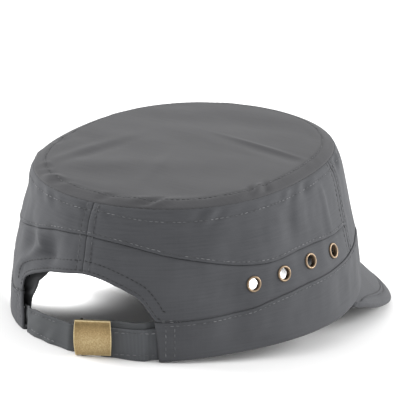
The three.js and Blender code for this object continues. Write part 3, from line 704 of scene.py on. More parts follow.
def set_patina_and_painted_light(bm, patina_and_painted_light):
    """Gives each point its patina and painted light and shade: one value for all, or one for each point."""
    layer = bm.verts.layers.float.new("patina_and_painted_light")
    for vert, value in zip(bm.verts, np.broadcast_to(patina_and_painted_light, len(bm.verts))):
        vert[layer] = float(value)


def thicken(piece, thickness):
    """Gives a sheet its thickness inwards."""
    wall_made = piece.modifiers.new("thickness", "SOLIDIFY")
    wall_made.thickness = thickness * MM
    wall_made.offset = -1
    wall_made.use_even_offset = True
    return piece


def knots(step, near, far, length):
    """Places along one side of a sheet: pairs of a share of the length and millimetres beyond it.
    Near and far are the distances in from each end that get a line of their own."""
    near, far = sorted(near), sorted(far)
    low = [(0.0, d) for d in near]
    high = [(1.0, -d) for d in reversed(far)]
    start, stop = near[-1], far[-1]
    count = max(int((length - start - stop) / step), 1)
    middle = [(k / count, start * (1 - k / count) - stop * k / count) for k in range(1, count)]
    return np.array(low + middle + high)


def new_grid(columns, rows):
    """A bmesh grid, with the column and the row of each of its points."""
    bm = bmesh.new()
    bmesh.ops.create_grid(bm, x_segments=columns - 1, y_segments=rows - 1, size=0.5)
    co = np.array([v.co[:2] for v in bm.verts]) + 0.5
    return bm, np.rint(co[:, 0] * (columns - 1)).astype(int), np.rint(co[:, 1] * (rows - 1)).astype(int)


def spin_round(bm, steps, join):
    """Spins a line of points once round the Z axis into a surface that faces outwards."""
    bmesh.ops.spin(bm, geom=bm.verts[:] + bm.edges[:], cent=(0, 0, 0), axis=(0, 0, 1),
                   angle=2 * math.pi, steps=steps, use_merge=True)
    bmesh.ops.remove_doubles(bm, verts=bm.verts[:], dist=join)
    bmesh.ops.recalc_face_normals(bm, faces=bm.faces[:])
    bm.verts.index_update()


def put_points(bm, points):
    for vert, point in zip(bm.verts, to_row(points)):
        vert.co = point


def lay_cloth(bm, uv):
    """The cloth's own map: millimetres along its weft and its warp."""
    layer = bm.loops.layers.uv.new("cloth")
    for face in bm.faces:
        for loop in face.loops:
            loop[layer].uv = uv[loop.vert.index][:2]


def grid_piece(name, columns, rows, place, material, thickness, replaces, cut=None):
    """A sheet: a bmesh grid whose points are put in place from their column and row."""
    bm, i, j = new_grid(len(columns), len(rows))
    points, uv = place(columns[i], rows[j])
    put_points(bm, points)
    lay_cloth(bm, uv)
    if cut:
        cut(bm, points)
    return thicken(finish(bm, name, material, replaces), thickness)


def roll(distance, radius=SEAM_ROLL):
    """How far a folded edge curls in, at a distance from the edge."""
    t = np.clip(1 - distance / radius, 0, 1)
    return -radius * (1 - np.sqrt(1 - t * t))


def groove(distance, depth=0.22, width=0.8):
    """The pinch that a row of stitches pulls into the cloth."""
    return -depth * np.exp(-(distance / width) ** 2)


def wall_sheet(name, span, low, high, columns, rows, profile, material, thickness, replaces,
               cut=None):
    """A panel of the crown wall. span gives its two end angles at a height, profile its relief from
    the distances in millimetres to its lower, upper, right and left edges."""
    def place(across, up):
        height = np.full(len(across), CROWN_HEIGHT / 2)
        for _ in range(4):
            first, last = span(height)
            turn = across[:, 0] * (last - first)
            angle = first + turn - across[:, 1] / RIM["half_width"]
            bottom, top = low(angle), high(angle)
            height = bottom + up[:, 0] * (top - bottom) + up[:, 1]
        below, above = height - bottom, top - height
        right = (first - angle) * RIM["half_width"]
        left = (angle - last) * RIM["half_width"]
        out = profile(angle, height, below, above, right, left)
        uv = np.stack([-angle * RIM["half_width"], height], -1)
        return wall(angle, height, out), uv

    return grid_piece(name, columns, rows, place, material, thickness, replaces, cut)


def wall_top(angle):
    return seam_height(oval(angle, **TOP)[..., 1])


def cut_eyelets(side):
    """Cuts a round hole for each eyelet of one side's panel."""
    def cut(bm, points):
        index = {vert: vert.index for vert in bm.verts}
        hole = EYELET_HOLE + 0.7
        for right, left, share in EYELETS:
            angle = np.radians([right if side > 0 else left])
            height = eyelet_height(angle, share)
            centre = wall(angle, height)[0]
            normal = wall_normal(angle, height)[0]
            away = points - centre
            away = away - np.outer(away @ normal, normal)
            distance = np.linalg.norm(away, axis=1)
            near = distance < hole
            faces = [f for f in bm.faces if all(near[index[v]] for v in f.verts)]
            bmesh.ops.delete(bm, geom=faces, context="FACES")
            rim = {v for e in bm.edges if e.is_boundary for v in e.verts if near[index[v]]}
            for vert in rim:
                k = index[vert]
                vert.co = to_row(points[k] + away[k] * (hole / distance[k] - 1))
    return cut


def front_profile(angle, height, below, above, right, left):
    ends = roll(right) + roll(left)
    rows = groove(right - FRONT_ROW) + groove(left - FRONT_ROW) + groove(above - stitch_drop(angle))
    tuck = -0.5 * (1 - smoothstep(below, 0, 1.6))
    return ends + rows + tuck + roll(above)


def upper_profile(angle, height, below, above, right, left):
    ends = roll(right) + roll(left) + groove(right - UPRIGHT_ROW) + groove(left - UPRIGHT_ROW)
    rows = groove(below - WAVE_ROW) + groove(above - stitch_drop(angle))
    proud = SEAM_PROUD * (1 - smoothstep(below, WAVE_ROW, 2 * WAVE_ROW))
    return ends + rows + proud + roll(below) + roll(above)


def lower_profile(angle, height, below, above, right, left):
    ends = roll(right) + roll(left) + groove(right - UPRIGHT_ROW) + groove(left - UPRIGHT_ROW)
    from_end = arch_half(angle) - (180 - degrees_round(angle))
    in_arch = smoothstep(from_end, -0.3, 1.2)
    tuck = -0.55 * (1 - smoothstep(above, 0, 1.8))
    band_tuck = -0.55 * (1 - smoothstep(below, 0, 1.6)) * (1 - in_arch)
    near, far = ARCH_ROWS
    hem = in_arch * (roll(below) + 0.3 * (1 - smoothstep(below, far, far + 1.2))
                     + groove(below - far, 0.1, 0.7) + groove(below - near, 0.15, 0.6))
    return ends + tuck + band_tuck + hem


def side_span(side, gap=0.0):
    rear = math.pi - gap
    if side > 0:
        return lambda height: (np.full_like(height, rear), front_seam(height))
    return lambda height: (-front_seam(height), np.full_like(height, -rear))


def build_walls():
    side_columns = knots(SIDE_STEP, EDGE_LINES + (3.0, 3.8, 4.6), EDGE_LINES + (3.0, 3.8, 4.6), 165)
    wall_rows = EDGE_LINES + (1.2, 1.6, 2.1, 2.6, 3.1, 3.6, 4.1, 4.6, 5.1, 5.6, 6.2)
    wall_sheet("front_cloth", lambda h: (front_seam(h), -front_seam(h)), band_top, wall_top,
               knots(SIDE_STEP, EDGE_LINES + (2.5, 3.3, 4.1), EDGE_LINES + (2.5, 3.3, 4.1), 205),
               knots(1.2, (0, 0.8, 1.6), wall_rows, 44), front_profile,
               CLOTH_FACE, CLOTH, ["front_panel"])
    for side, word in ((1, "right"), (-1, "left")):
        wall_sheet(f"upper_cloth_{word}", side_span(side), wave_height, wall_top, side_columns,
                   knots(1.1, EDGE_LINES + (1.6, 2.4, 3.2), wall_rows, 24), upper_profile,
                   CLOTH_FACE, CLOTH, [f"side_upper_{word}"])
        wall_sheet(f"lower_cloth_{word}", side_span(side), lower_edge, wave_height, side_columns,
                   knots(0.7, EDGE_LINES + (1.3, 1.8, 2.3), (0, 0.6, 1.2, 1.8), 18), lower_profile,
                   CLOTH_FACE, CLOTH, [f"side_lower_{word}"], cut_eyelets(side))


def band_profile(angle, height, below, above, right, left):
    ends = roll(right, 1.2) + roll(left, 1.2)
    rows = groove(above - EDGE_ROW)
    for row in BAND_END_ROWS:
        rows = rows + 0.6 * (groove(right - row) + groove(left - row))
    return SEAM_PROUD + ends + rows + roll(below, 1.2) + roll(above)


def band_right_end(height):
    share = np.clip(height / band_top(BAND_END), 0, 1)
    return math.pi - np.radians(ARCH_HALF + (BAND_RIGHT_END_HIGH - ARCH_HALF) * share)


def band_left_end(height):
    share = np.clip(height / band_top(-BAND_END), 0, 1)
    low, high = BAND_LEFT_END
    return -math.pi + np.radians(low + (high - low) * share)


def sweat_left_end(height):
    return -math.pi + np.radians(read_table(SWEAT_TAIL, height / SWEAT_HEIGHT))


def sweat_low(angle):
    """The sweatband's lower edge, which stands above the strap at its left end."""
    turn = 180 - degrees_round(angle)
    clear = BAND_LEFT_END[0] + STRAP_HIDDEN + 6
    rise = np.where(is_left(angle), 1 - smoothstep(turn, clear, clear + 12), 0)
    strap_top = STRAP_WIDTH * read_table(STRAP_TOP_LEFT, turn) - 3
    return SWEAT_RISE + (strap_top - SWEAT_RISE) * rise


def sweat_high(angle):
    """Its upper edge, which rises behind the arch's edge at its left end."""
    in_arch = is_left(angle) & (180 - degrees_round(angle) < ARCH_LEFT_HALF)
    return np.where(in_arch, np.maximum(SWEAT_HEIGHT, arch_height(angle) + SWEAT_TAIL_HEM), SWEAT_HEIGHT)


def sweat_profile(angle, height, below, above, right, left):
    """Its face, whose free left end curls inwards in soft waves."""
    inset = BAND_THICKNESS + 0.4
    tail = np.where(is_left(angle), 1 - smoothstep(left, 6, 14), 0)
    curl = 1.8 + 0.35 * np.sin(height / 1.7 + left / 2)
    return -inset - curl * tail + roll(below) + roll(above) + roll(right) + roll(left)


def build_band():
    ends = (0, 0.2, 0.6, 1.2, 2.4, 3.2, 4.0, 6.8, 7.6, 8.4)
    wall_sheet("band_cloth", lambda h: (band_right_end(h), band_left_end(h)),
               lambda a: np.full_like(a, -BAND_OVERHANG), band_top, knots(1.4, ends, ends, 470),
               knots(1.2, (0, 0.2, 0.6, 1.2), EDGE_LINES + (1.7, 2.6), 24), band_profile,
               CLOTH_FACE, BAND_CLOTH, ["band"])
    end = math.radians(SWEAT_END)
    wall_sheet("sweatband_cloth", lambda h: (np.full_like(h, end), sweat_left_end(h)),
               sweat_low, sweat_high, knots(1.6, (0, 0.3, 0.8), (0, 0.3, 0.8), 465),
               knots(1.6, (0, 0.3, 0.8), (0, 0.3, 0.8), 25), sweat_profile,
               SWEAT_FACE_SHADED, SWEAT_CLOTH, ["sweatband"])


def build_top():
    """The top panel: a profile of points spun into a disc, then each point put in place."""
    radii = [0.0, 0.02] + [0.02 + 0.84 * (k / 84) for k in range(1, 85)]
    radii += [0.86 + 0.13 * (k / 16) for k in range(1, 17)] + [0.993, 0.997, 1.0]
    bm = bmesh.new()
    line = [bm.verts.new((0, radius, 0)) for radius in radii]
    for first, second in zip(line, line[1:]):
        bm.edges.new((first, second))
    spin_round(bm, TOP_STEPS, join=1e-5)
    co = np.array([v.co[:2] for v in bm.verts])
    radius = np.hypot(co[:, 0], co[:, 1])
    angle = np.arctan2(co[:, 0], co[:, 1])
    points = top_surface(angle, radius)
    inset = (1 - radius) * np.linalg.norm(oval(angle, **TOP), axis=-1)
    points[:, 2] += roll(inset) + groove(inset - TOP_SHOULDER_WIDTH, 0.3, 0.9)
    put_points(bm, points)
    lay_cloth(bm, points)
    bm.normal_update()
    if sum(face.normal.z for face in bm.faces) < 0:
        bmesh.ops.reverse_faces(bm, faces=bm.faces[:])
    thicken(finish(bm, "top_cloth", TOP_FACE, ["top_panel"]), CLOTH)


def build_peak():
    """The peak: a sheet that runs over its top, round its edge and back underneath."""
    top_rows = [("share", k / 18) for k in range(18)]
    inner = [("groove", d) for d in (-2.4, -1.6, -1.0, -0.5, 0, 0.5, 1.0, 1.6, 2.4)]
    outer = [("edge", d) for d in (6.0, 4.5, 3.0, 2.0)]
    turn = [("turn", math.radians(a)) for a in range(-90, 91, 15)]
    under = [("under", k / 20) for k in range(19, -1, -1)]
    rows = top_rows + inner + outer + turn + under
    columns = np.linspace(-1, 1, 260)
    half = PEAK_THICKNESS / 2
    bm, i, j = new_grid(len(columns), len(rows))
    points = np.zeros((len(bm.verts), 3))
    for row, (kind, value) in enumerate(rows):
        picked = j == row
        across = -columns[i[picked]]

        def reach(length, kind=kind, value=value):
            body = np.maximum(length - PEAK_GROOVE, 0)
            room = np.clip(length / PEAK_GROOVE / 2 - 0.4, 0, 1)
            if kind == "share":
                return value * np.where(length > half, body * room + (1 - room) * length * 0.5, 0)
            if kind == "groove":
                even = length * (0.55 + 0.02 * value)
                return np.maximum(room * (body + value) + (1 - room) * even, 0)
            if kind == "edge":
                even = length * (0.85 - 0.02 * value)
                return np.maximum(room * (length - value) + (1 - room) * even, 0)
            if kind == "turn":
                return np.maximum(length - half + half * math.cos(value), 0.2)
            return value * np.maximum(length - half, 0.2)

        depth = {"share": 0.0, "groove": PEAK_GROOVE_DEPTH * math.exp(-(value / 0.55) ** 2), "edge": 0.0,
                 "turn": half + half * math.sin(value), "under": PEAK_THICKNESS}[kind]
        if kind == "groove":
            depth = depth - PEAK_RIDGE * float(smoothstep(value, 0.2, 1.4))
        if kind == "edge":
            depth = -PEAK_RIDGE * float(smoothstep(value, 1.4, 5))
        # Beside its root the peak's edge is drawn up, and its shoulder stands out a little
        out = np.clip(row / (len(top_rows) + len(inner)), 0, 1) if kind != "under" else value
        points[picked] = peak_face(across, reach, depth)
        lifted = PEAK_SIDE_LIFT * smoothstep(np.abs(across), 0.5, 0.78) * out ** 2
        points[picked, 2] += lifted * (1 - smoothstep(np.abs(across), 0.93, 1.0))
        stretch = PEAK_SIDE_REACH * np.exp(-((np.abs(across) - 0.6) / 0.2) ** 2) * out ** 2
        points[picked, 0] += np.sign(across) * stretch
    put_points(bm, points)
    lay_cloth(bm, points)
    first = [e for e in bm.edges if e.is_boundary and all(j[v.index] == 0 for v in e.verts)]
    last = [e for e in bm.edges if e.is_boundary and all(j[v.index] == len(rows) - 1 for v in e.verts)]
    bmesh.ops.bridge_loops(bm, edges=first + last)
    bmesh.ops.holes_fill(bm, edges=[e for e in bm.edges if e.is_boundary], sides=0)
    bmesh.ops.recalc_face_normals(bm, faces=bm.faces[:])
    finish(bm, "peak_cloth", CLOTH_FACE, ["peak"])


# Straps and buckle

BUCKLE_TURN = math.radians(BUCKLE_ANGLE)
BUCKLE_HALF_TURN = BUCKLE_WIDTH / 2 / RIM["back"]
BAND_END = math.radians(180 - ARCH_HALF)
EASE = 5 / RIM["back"]
BEHIND_BAND = BAND_THICKNESS + 0.3
BEHIND_SHORT = STRAP_THICKNESS + 0.3
LEFT_BAND_EDGE = math.pi + math.radians(BAND_LEFT_END[0])
RIGHT_BAND_EDGE = math.pi - math.radians(BAND_RIGHT_END_HIGH)
BUCKLE_OUT = BUCKLE_PROUD + BUCKLE_SHEET + BUCKLE_WIDTH / 2 * math.sin(math.radians(BUCKLE_YAW))
BUCKLE_LOW = float(table_height(-RIM["back"] - BUCKLE_OUT)) + 0.2


def ease(angle, at):
    return smoothstep(angle, at - EASE / 2, at + EASE / 2)


def strap(name, first, last, low, high, inset, relief, material, replaces):
    def place(across, up):
        angle = first + across[:, 0] * (last - first) - across[:, 1] / RIM["back"]
        bottom = np.maximum(low(angle), table_height(smooth_wall(angle, 0)[:, 1]))
        top = high(angle)
        height = bottom + up[:, 0] * (top - bottom) + up[:, 1]
        below, above = height - bottom, top - height
        ends = roll((first - angle) * RIM["back"]) + roll((angle - last) * RIM["back"])
        rows = groove(below - EDGE_ROW, 0.15, 0.7) + groove(above - EDGE_ROW, 0.15, 0.7)
        along = (angle - BUCKLE_TURN) * RIM["back"]
        bulge = (STRAP_BULGE + STRAP_TURN_OUT * along) * np.exp(-(along / STRAP_BULGE_REACH) ** 4)
        out = bulge - inset(angle) + roll(below, 0.6) + roll(above, 0.6) + ends + rows + relief(angle, height)
        points = smooth_wall(angle, height) + wall_normal(angle, height) * out[:, None]
        return points, np.stack([-angle * RIM["back"], height], -1)

    length = (first - last) * RIM["back"]
    edges = (0, 0.1, 0.3, 0.6, 1.2, 1.7, 2.2)
    grid_piece(name, knots(0.8, (0, 0.2, 0.6), (0, 0.2, 0.6), length), knots(0.8, edges, edges, STRAP_WIDTH),
               place, material, STRAP_THICKNESS - 0.2, replaces)


def tail_lift(angle):
    """Past the buckle the long strap's tail stands higher than the short strap in front."""
    return TAIL_RISE * smoothstep(BUCKLE_TURN - angle, 0, BUCKLE_HALF_TURN)


def build_straps():
    hidden = math.radians(STRAP_HIDDEN)
    clear = 0.6 * EASE
    left_folds = Ripples(5, 7, 13, lean=40, spread=0.25)
    strap("short_strap", BUCKLE_TURN - BUCKLE_HALF_TURN / 3, BAND_END - hidden, np.zeros_like,
          lambda a: np.full_like(a, STRAP_WIDTH),
          lambda a: BEHIND_BAND * (1 - ease(a, RIGHT_BAND_EDGE + clear)),
          lambda a, h: 0 * a, STRAP_RIBBED, ["strap_short"])
    strap("long_strap", LEFT_BAND_EDGE + hidden, BAND_END - hidden,
          tail_lift,
          lambda a: STRAP_WIDTH * read_table(STRAP_TOP_LEFT, np.degrees(a) - 180) + tail_lift(a),
          lambda a: (BEHIND_BAND * ease(a, LEFT_BAND_EDGE - clear)
                     + BEHIND_SHORT * (1 - ease(a, BUCKLE_TURN + BUCKLE_HALF_TURN + clear))
                     + BEHIND_BAND * (1 - ease(a, RIGHT_BAND_EDGE + clear))),
          lambda a, h: 0.35 * smoothstep(a, math.pi + 0.08, math.pi + 0.2)
          * left_folds(a * RIM["back"], h), STRAP_FACE, ["strap_long"])


def buckle_matrix():
    """The buckle's own frame, X out, Y up and Z along the strap, in the row."""
    turn = np.array([BUCKLE_TURN])
    normal = wall_normal(turn, STRAP_WIDTH / 2)[0]
    up = Vector((0, 0, 1))
    normal = Vector((normal[0], normal[1], 0)).normalized()
    normal.rotate(Matrix.Rotation(math.radians(BUCKLE_YAW), 3, up))
    foot = smooth_wall(turn, 0.0)[0]
    matrix = Matrix((normal, up, normal.cross(up))).transposed().to_4x4()
    matrix.translation = (foot[0], foot[1], BUCKLE_LOW)
    return CAP_TO_ROW @ matrix


def buckle_section():
    """The plate's outer line from its lower lip to its upper one: how far out, how far up."""
    corner = 0.7
    front = BUCKLE_PROUD + BUCKLE_SHEET
    lip = [(front - corner - (BUCKLE_DEPTH - corner) * k / 3, 0.0) for k in (3, 2, 1, 0)]
    arc = [(front - corner + corner * math.sin(a), corner - corner * math.cos(a))
           for a in np.radians(range(15, 90, 15))]
    face = [(front + BUCKLE_BOW * 4 * s * (1 - s), corner + s * (BUCKLE_HEIGHT - 2 * corner))
            for s in np.linspace(0, 1, 21)]
    upper = [(out, BUCKLE_HEIGHT - up) for out, up in reversed(lip + arc)]
    return np.array(lip + arc + face + upper)


# How light the buckle's face is painted up its height: painted shade, darkest just under the top edge and
# lighter lower down
BUCKLE_FACE_PAINTED_LIGHT = [  # share of BUCKLE_HEIGHT up the face, tone with painted shade
    (0, 0.6), (0.12, 0.6), (0.4, 0.62), (0.62, 0.54), (0.8, 0.38), (0.93, 0.24), (1, 0.4),
]


def build_buckle():
    """Stamped plate: its face is bowed, its sides barrel a little and its lips turn back."""
    path = buckle_section()
    sides = np.array([-1, -0.985, -0.965, -0.94, -0.9, -0.8, -0.6, -0.3, 0, 0.3, 0.6, 0.8, 0.9, 0.94,
                      0.965, 0.985, 1])
    bm, i, j = new_grid(len(path), len(sides))
    matrix = buckle_matrix()
    out, up = path[i].T
    side = sides[j]
    barrel = BUCKLE_BARREL * np.sin(math.pi * up / BUCKLE_HEIGHT)
    across = side * (BUCKLE_WIDTH / 2 + barrel)
    for vert, point in zip(bm.verts, np.stack([out, up, across], -1)):
        vert.co = matrix @ Vector(point)
    from_side = (1 - np.abs(side)) * BUCKLE_WIDTH / 2
    from_end = np.minimum(up, BUCKLE_HEIGHT - up)
    # Lighter close to the plate's edges: rubbed wear and a painted highlight on the rolled edges. The sides
    # are painted a little darker: painted shade
    rubbed_and_highlit = np.maximum(np.exp(-(from_side / 0.3) ** 2), np.exp(-(from_end / 0.45) ** 2))
    corner_shade = 0.1 * np.abs(side) ** 3
    tone = read_table(BUCKLE_FACE_PAINTED_LIGHT, up / BUCKLE_HEIGHT) - corner_shade
    set_patina_and_painted_light(bm, tone + (0.95 - tone) * rubbed_and_highlit)
    bmesh.ops.recalc_face_normals(bm, faces=bm.faces[:])
    outward = matrix.to_3x3() @ Vector((1, 0, 0))
    middle = max(bm.faces, key=lambda f: f.calc_center_median().dot(outward))
    middle.normal_update()
    if middle.normal.dot(outward) < 0:
        bmesh.ops.reverse_faces(bm, faces=bm.faces[:])
    plate = finish(bm, "buckle_face", BUCKLE_BRASS, ["buckle_plate"])
    thicken(plate, BUCKLE_SHEET)
    edge = plate.modifiers.new("rolled edges", "BEVEL")
    edge.width = 0.28 * MM
    edge.segments = 3
    edge.limit_method = "ANGLE"
    edge.angle_limit = math.radians(50)

    bm = bmesh.new()
    bmesh.ops.create_cone(bm, cap_ends=True, segments=24, radius1=0.8, radius2=0.8,
                          depth=BUCKLE_HEIGHT + 1.0)
    ends = [e for e in bm.edges if len({f for f in e.link_faces if len(f.verts) > 4}) == 1]
    bmesh.ops.bevel(bm, geom=ends, offset=0.3, segments=3, affect="EDGES", profile=0.5, material=-1)
    bmesh.ops.rotate(bm, verts=bm.verts[:], cent=(0, 0, 0), matrix=Matrix.Rotation(math.pi / 2, 3, "X"))
    bmesh.ops.translate(bm, verts=bm.verts[:], vec=(0.55, BUCKLE_HEIGHT / 2, BUCKLE_WIDTH / 2 - 3.2))
    bmesh.ops.transform(bm, matrix=matrix, verts=bm.verts[:])
    set_patina_and_painted_light(bm, 0.4)
    finish(bm, "buckle_pin_turned", PIN_STEEL, ["buckle_pin"])


def build_eyelets():
    """Rolled eyelets: a closed section spun about the hole's axis."""
    tube, rim = EYELET_HOLE, EYELET_RIM
    mid, half = (tube + rim) / 2, (rim - tube) / 2
    face, back = 0.1, -1.5
    section = [(tube, -0.7), (tube, face)]
    section += [(mid - half * math.cos(math.radians(a)), face + 0.75 * math.sin(math.radians(a)))
                for a in range(20, 180, 20)]
    section += [(rim, face), (tube + 0.3, face), (tube + 0.3, back), (rim - 0.2, back)]
    section += [(mid + half * math.cos(math.radians(a)), back - 0.5 * math.sin(math.radians(a)))
                for a in range(20, 180, 40)]
    section += [(tube, back)]
    for side, word in ((1, "right"), (-1, "left")):
        for number, (right, left, share) in enumerate(EYELETS, 1):
            angle = np.radians([right if side > 0 else left])
            height = eyelet_height(angle, share)
            centre, normal = wall(angle, height)[0], wall_normal(angle, height)[0]
            bm = bmesh.new()
            loop = [bm.verts.new((radius, 0, up)) for radius, up in section]
            for first, second in zip(loop, loop[1:] + loop[:1]):
                bm.edges.new((first, second))
            spin_round(bm, EYELET_STEPS, join=1e-4)
            stand = Vector(normal).to_track_quat("Z", "Y").to_matrix().to_4x4()
            stand.translation = centre
            away = np.array([math.hypot(v.co.x, v.co.y) for v in bm.verts])
            # Lighter along the rolled ring's crest and darker towards the hole and the outer edge: a painted
            # highlight line and painted shade
            set_patina_and_painted_light(bm, 0.25 + 0.45 * np.exp(-((away - mid) / 0.4) ** 2))
            bmesh.ops.transform(bm, matrix=CAP_TO_ROW @ stand, verts=bm.verts[:])
            finish(bm, f"eyelet_ring_{word}_{number}", EYELET_BRASS,
                   [f"eyelet_{word}_{number}"])


# Stitches

STITCH_PITCH = 2.6
STITCH_LENGTH = 1.9
THREAD_WIDTH = 0.42


def stitch_row(bm, points, normals, pitch=STITCH_PITCH, length=STITCH_LENGTH):
    """Lays stitches along a line of points: small spheres drawn out and half sunk in the cloth."""
    steps = np.linalg.norm(np.diff(points, axis=0), axis=1)
    run = np.concatenate([[0], np.cumsum(steps)])
    count = max(int(run[-1] / pitch), 1)
    for k in range(count):
        at = (k + 0.5) * run[-1] / count + rng.uniform(-0.15, 0.15)
        spot, ahead, behind = (
            Vector([np.interp(at + d, run, points[:, c]) for c in range(3)]) for d in (0, 0.6, -0.6)
        )
        normal = Vector([np.interp(at, run, normals[:, c]) for c in range(3)]).normalized()
        along = (ahead - behind).normalized()
        side = normal.cross(along).normalized()
        along = (along + side * rng.uniform(-0.12, 0.12)).normalized()
        side = normal.cross(along).normalized()
        turn = Matrix((along, side, normal)).transposed().to_4x4()
        turn.translation = spot + normal * 0.02
        size = Matrix.Diagonal((length / 2, THREAD_WIDTH / 2, THREAD_WIDTH / 2.6, 1))
        bmesh.ops.create_uvsphere(bm, u_segments=6, v_segments=5, radius=1,
                                  matrix=CAP_TO_ROW @ turn @ size @ Matrix.Rotation(math.pi / 2, 4, "Y"))


def wall_line(angle, height, out=0.0):
    angle = np.asarray(angle, float)
    height = np.broadcast_to(np.asarray(height, float), angle.shape)
    return wall(angle, height, out), wall_normal(angle, height)


def arch_line(side, offset):
    """A line on the side panel at a distance in from the arch's edge."""
    half = ARCH_HALF if side > 0 else ARCH_LEFT_HALF
    turn = np.radians(np.linspace(180, 180 - half, 120))
    edge = np.stack([turn * RIM["back"], arch_height(side * turn)], -1)
    ahead = unit(np.gradient(edge, axis=0))
    inward = np.stack([-ahead[:, 1], ahead[:, 0]], -1) * -1
    inward *= np.sign(inward[:, 1:] + 1e-9)
    line = edge + inward * offset
    keep = line[:, 1] > band_top(side * line[:, 0] / RIM["back"]) + 1.0
    line = line[keep & (line[:, 0] <= math.pi * RIM["back"])]
    return wall_line(side * line[:, 0] / RIM["back"], line[:, 1], 0.2)


def build_stitches():
    def sew(name, rows, slot="cloth", thread=THREAD, **sizes):
        bm = bmesh.new()
        for points, normals in rows:
            stitch_row(bm, points, normals, **sizes)
        finish(bm, name, thread)

    around = np.linspace(-math.pi, math.pi, 721)
    top_oval = oval(around, **TOP)
    share = 1 - TOP_SHOULDER_WIDTH / np.linalg.norm(top_oval, axis=-1)
    top_line = top_surface(around, share) - np.array([0, 0, 0.2])
    sew("stitches_crown", [wall_line(around, wall_top(around) - stitch_drop(around), -0.12)])
    # Near-black marks sunk in the crown seam's crease: painted seam shadow
    sew("stitches_seam", [wall_line(around, wall_top(around) - 0.25, -0.35)], thread=THREAD_IN_SHADOW,
        pitch=3.1, length=2.5)
    sew("stitches_top", [(top_line, np.tile([0.0, 0.0, 1.0], (len(around), 1)))], thread=THREAD_SHADED)

    rows = []
    for side in (1, -1):
        waves = np.linspace(math.pi - 0.005, math.radians(72), 300)
        rows.append(wall_line(side * waves, wave_height(waves) + WAVE_ROW, SEAM_PROUD - 0.1))
    sew("stitches_wave", rows)

    band_run = np.linspace(float(band_left_end(np.array(17.0))) + 0.02, BAND_END - 0.02, 600)
    sew("stitches_band", [wall_line(band_run, band_top(band_run) - EDGE_ROW, SEAM_PROUD - 0.1)])

    sew("stitches_arch", [arch_line(side, offset) for side in (1, -1) for offset in ARCH_ROWS],
        thread=THREAD_IN_SHADOW, pitch=2.4, length=1.8)

    rows = []
    for side in (1, -1):
        height = np.linspace(ARCH_HEIGHT + 1.5, CROWN_HEIGHT + 1.2, 60)
        rows.append(wall_line(np.full(60, math.pi - side * UPRIGHT_ROW / RIM["back"]), height, 0.1))
    for sign in (1, -1):
        for offset in (-FRONT_ROW, UPRIGHT_ROW):
            height = np.linspace(BAND_HEIGHT + 1, CROWN_HEIGHT - 1, 60)
            turn = sign * (front_seam(height) + offset / RIM["half_width"])
            rows.append(wall_line(turn, height, -0.1))
    sew("stitches_upright", rows, thread=THREAD_SHADED, pitch=2.4, length=1.8)

    height = np.linspace(BAND_HEIGHT + 1, CROWN_HEIGHT - 1, 60)
    # Near-black marks along the front seams: painted seam shadow
    sew("stitches_front_seam", [wall_line(sign * front_seam(height), height, -0.15) for sign in (1, -1)],
        thread=THREAD_IN_SHADOW, pitch=3.0, length=2.4)

    rows = []
    height = np.linspace(1.5, 16.5, 30)
    for offset in BAND_END_ROWS:
        shift = offset / RIM["back"]
        for turn in (np.full(30, BAND_END - shift), band_left_end(height) + shift):
            rows.append(wall_line(turn, height, SEAM_PROUD - 0.05))
    for start in (BAND_END - 8 / RIM["back"], float(band_left_end(np.array(18.0)))):
        tack = np.linspace(start, start + 8 / RIM["back"], 12)
        for up in (0.2, 1.0):
            rows.append(wall_line(tack, band_top(tack) + up, 0.1))
    sew("stitches_band_ends", rows, pitch=2.6, length=1.9)

    groove_at = np.linspace(-0.93, 0.93, 400)
    points = peak_face(groove_at, lambda length: np.maximum(length - PEAK_GROOVE, 1.0), 0.35)
    normals = unit(np.cross(np.gradient(points, axis=0),
                            peak_face(groove_at, lambda length: length, 0.0) - points))
    normals *= np.sign(normals[:, 2:])
    sew("stitches_peak", [(points, normals)])

    rows = []
    short = np.linspace(BUCKLE_TURN - BUCKLE_HALF_TURN - 0.01, BAND_END + 0.015, 80)
    for height in (STRAP_WIDTH - EDGE_ROW, STRAP_LOW_ROW):
        points = smooth_wall(short, np.full(80, height))
        normals = wall_normal(short, np.full(80, height))
        rows.append((points - normals * 0.1, normals))
    left = np.linspace(BUCKLE_TURN + BUCKLE_HALF_TURN + 0.14, LEFT_BAND_EDGE - 0.06, 80)
    high = STRAP_WIDTH * read_table(STRAP_TOP_LEFT, np.degrees(left) - 180) - EDGE_ROW
    for height in (high, np.full(80, STRAP_LOW_ROW)):
        points = smooth_wall(left, height)
        normals = wall_normal(left, height)
        rows.append((points + normals * 0.05, normals))
    sew("stitches_strap", rows, slot="strap_cloth", pitch=2.8, length=2.0)


# Stage, lights and camera

WORLD_STRENGTH = 1.08
SOFT_BOXES = [  # name, place in metres, power in watts
    ("left softbox", (-1.25, -0.33, 0.55), 18),
    ("right front softbox", (1.05, 0.82, 0.55), 20),
]
SOFT_BOX_AIM = (0, 0, 0.05)
SOFT_BOX_SIZE = (0.9, 0.7)
HOLLOW_LAMPS = [  # place in metres, power in watts: they stand for the light that the pale paper returns
    (-0.062, -0.045, 0.022, 0.011), (-0.07, -0.005, 0.025, 0.012), (0, 0.06, 0.035, 0.018),
]
HOLLOW_LAMP_SIZE = 0.02
HOLLOW_LAMP_SPREAD = 125

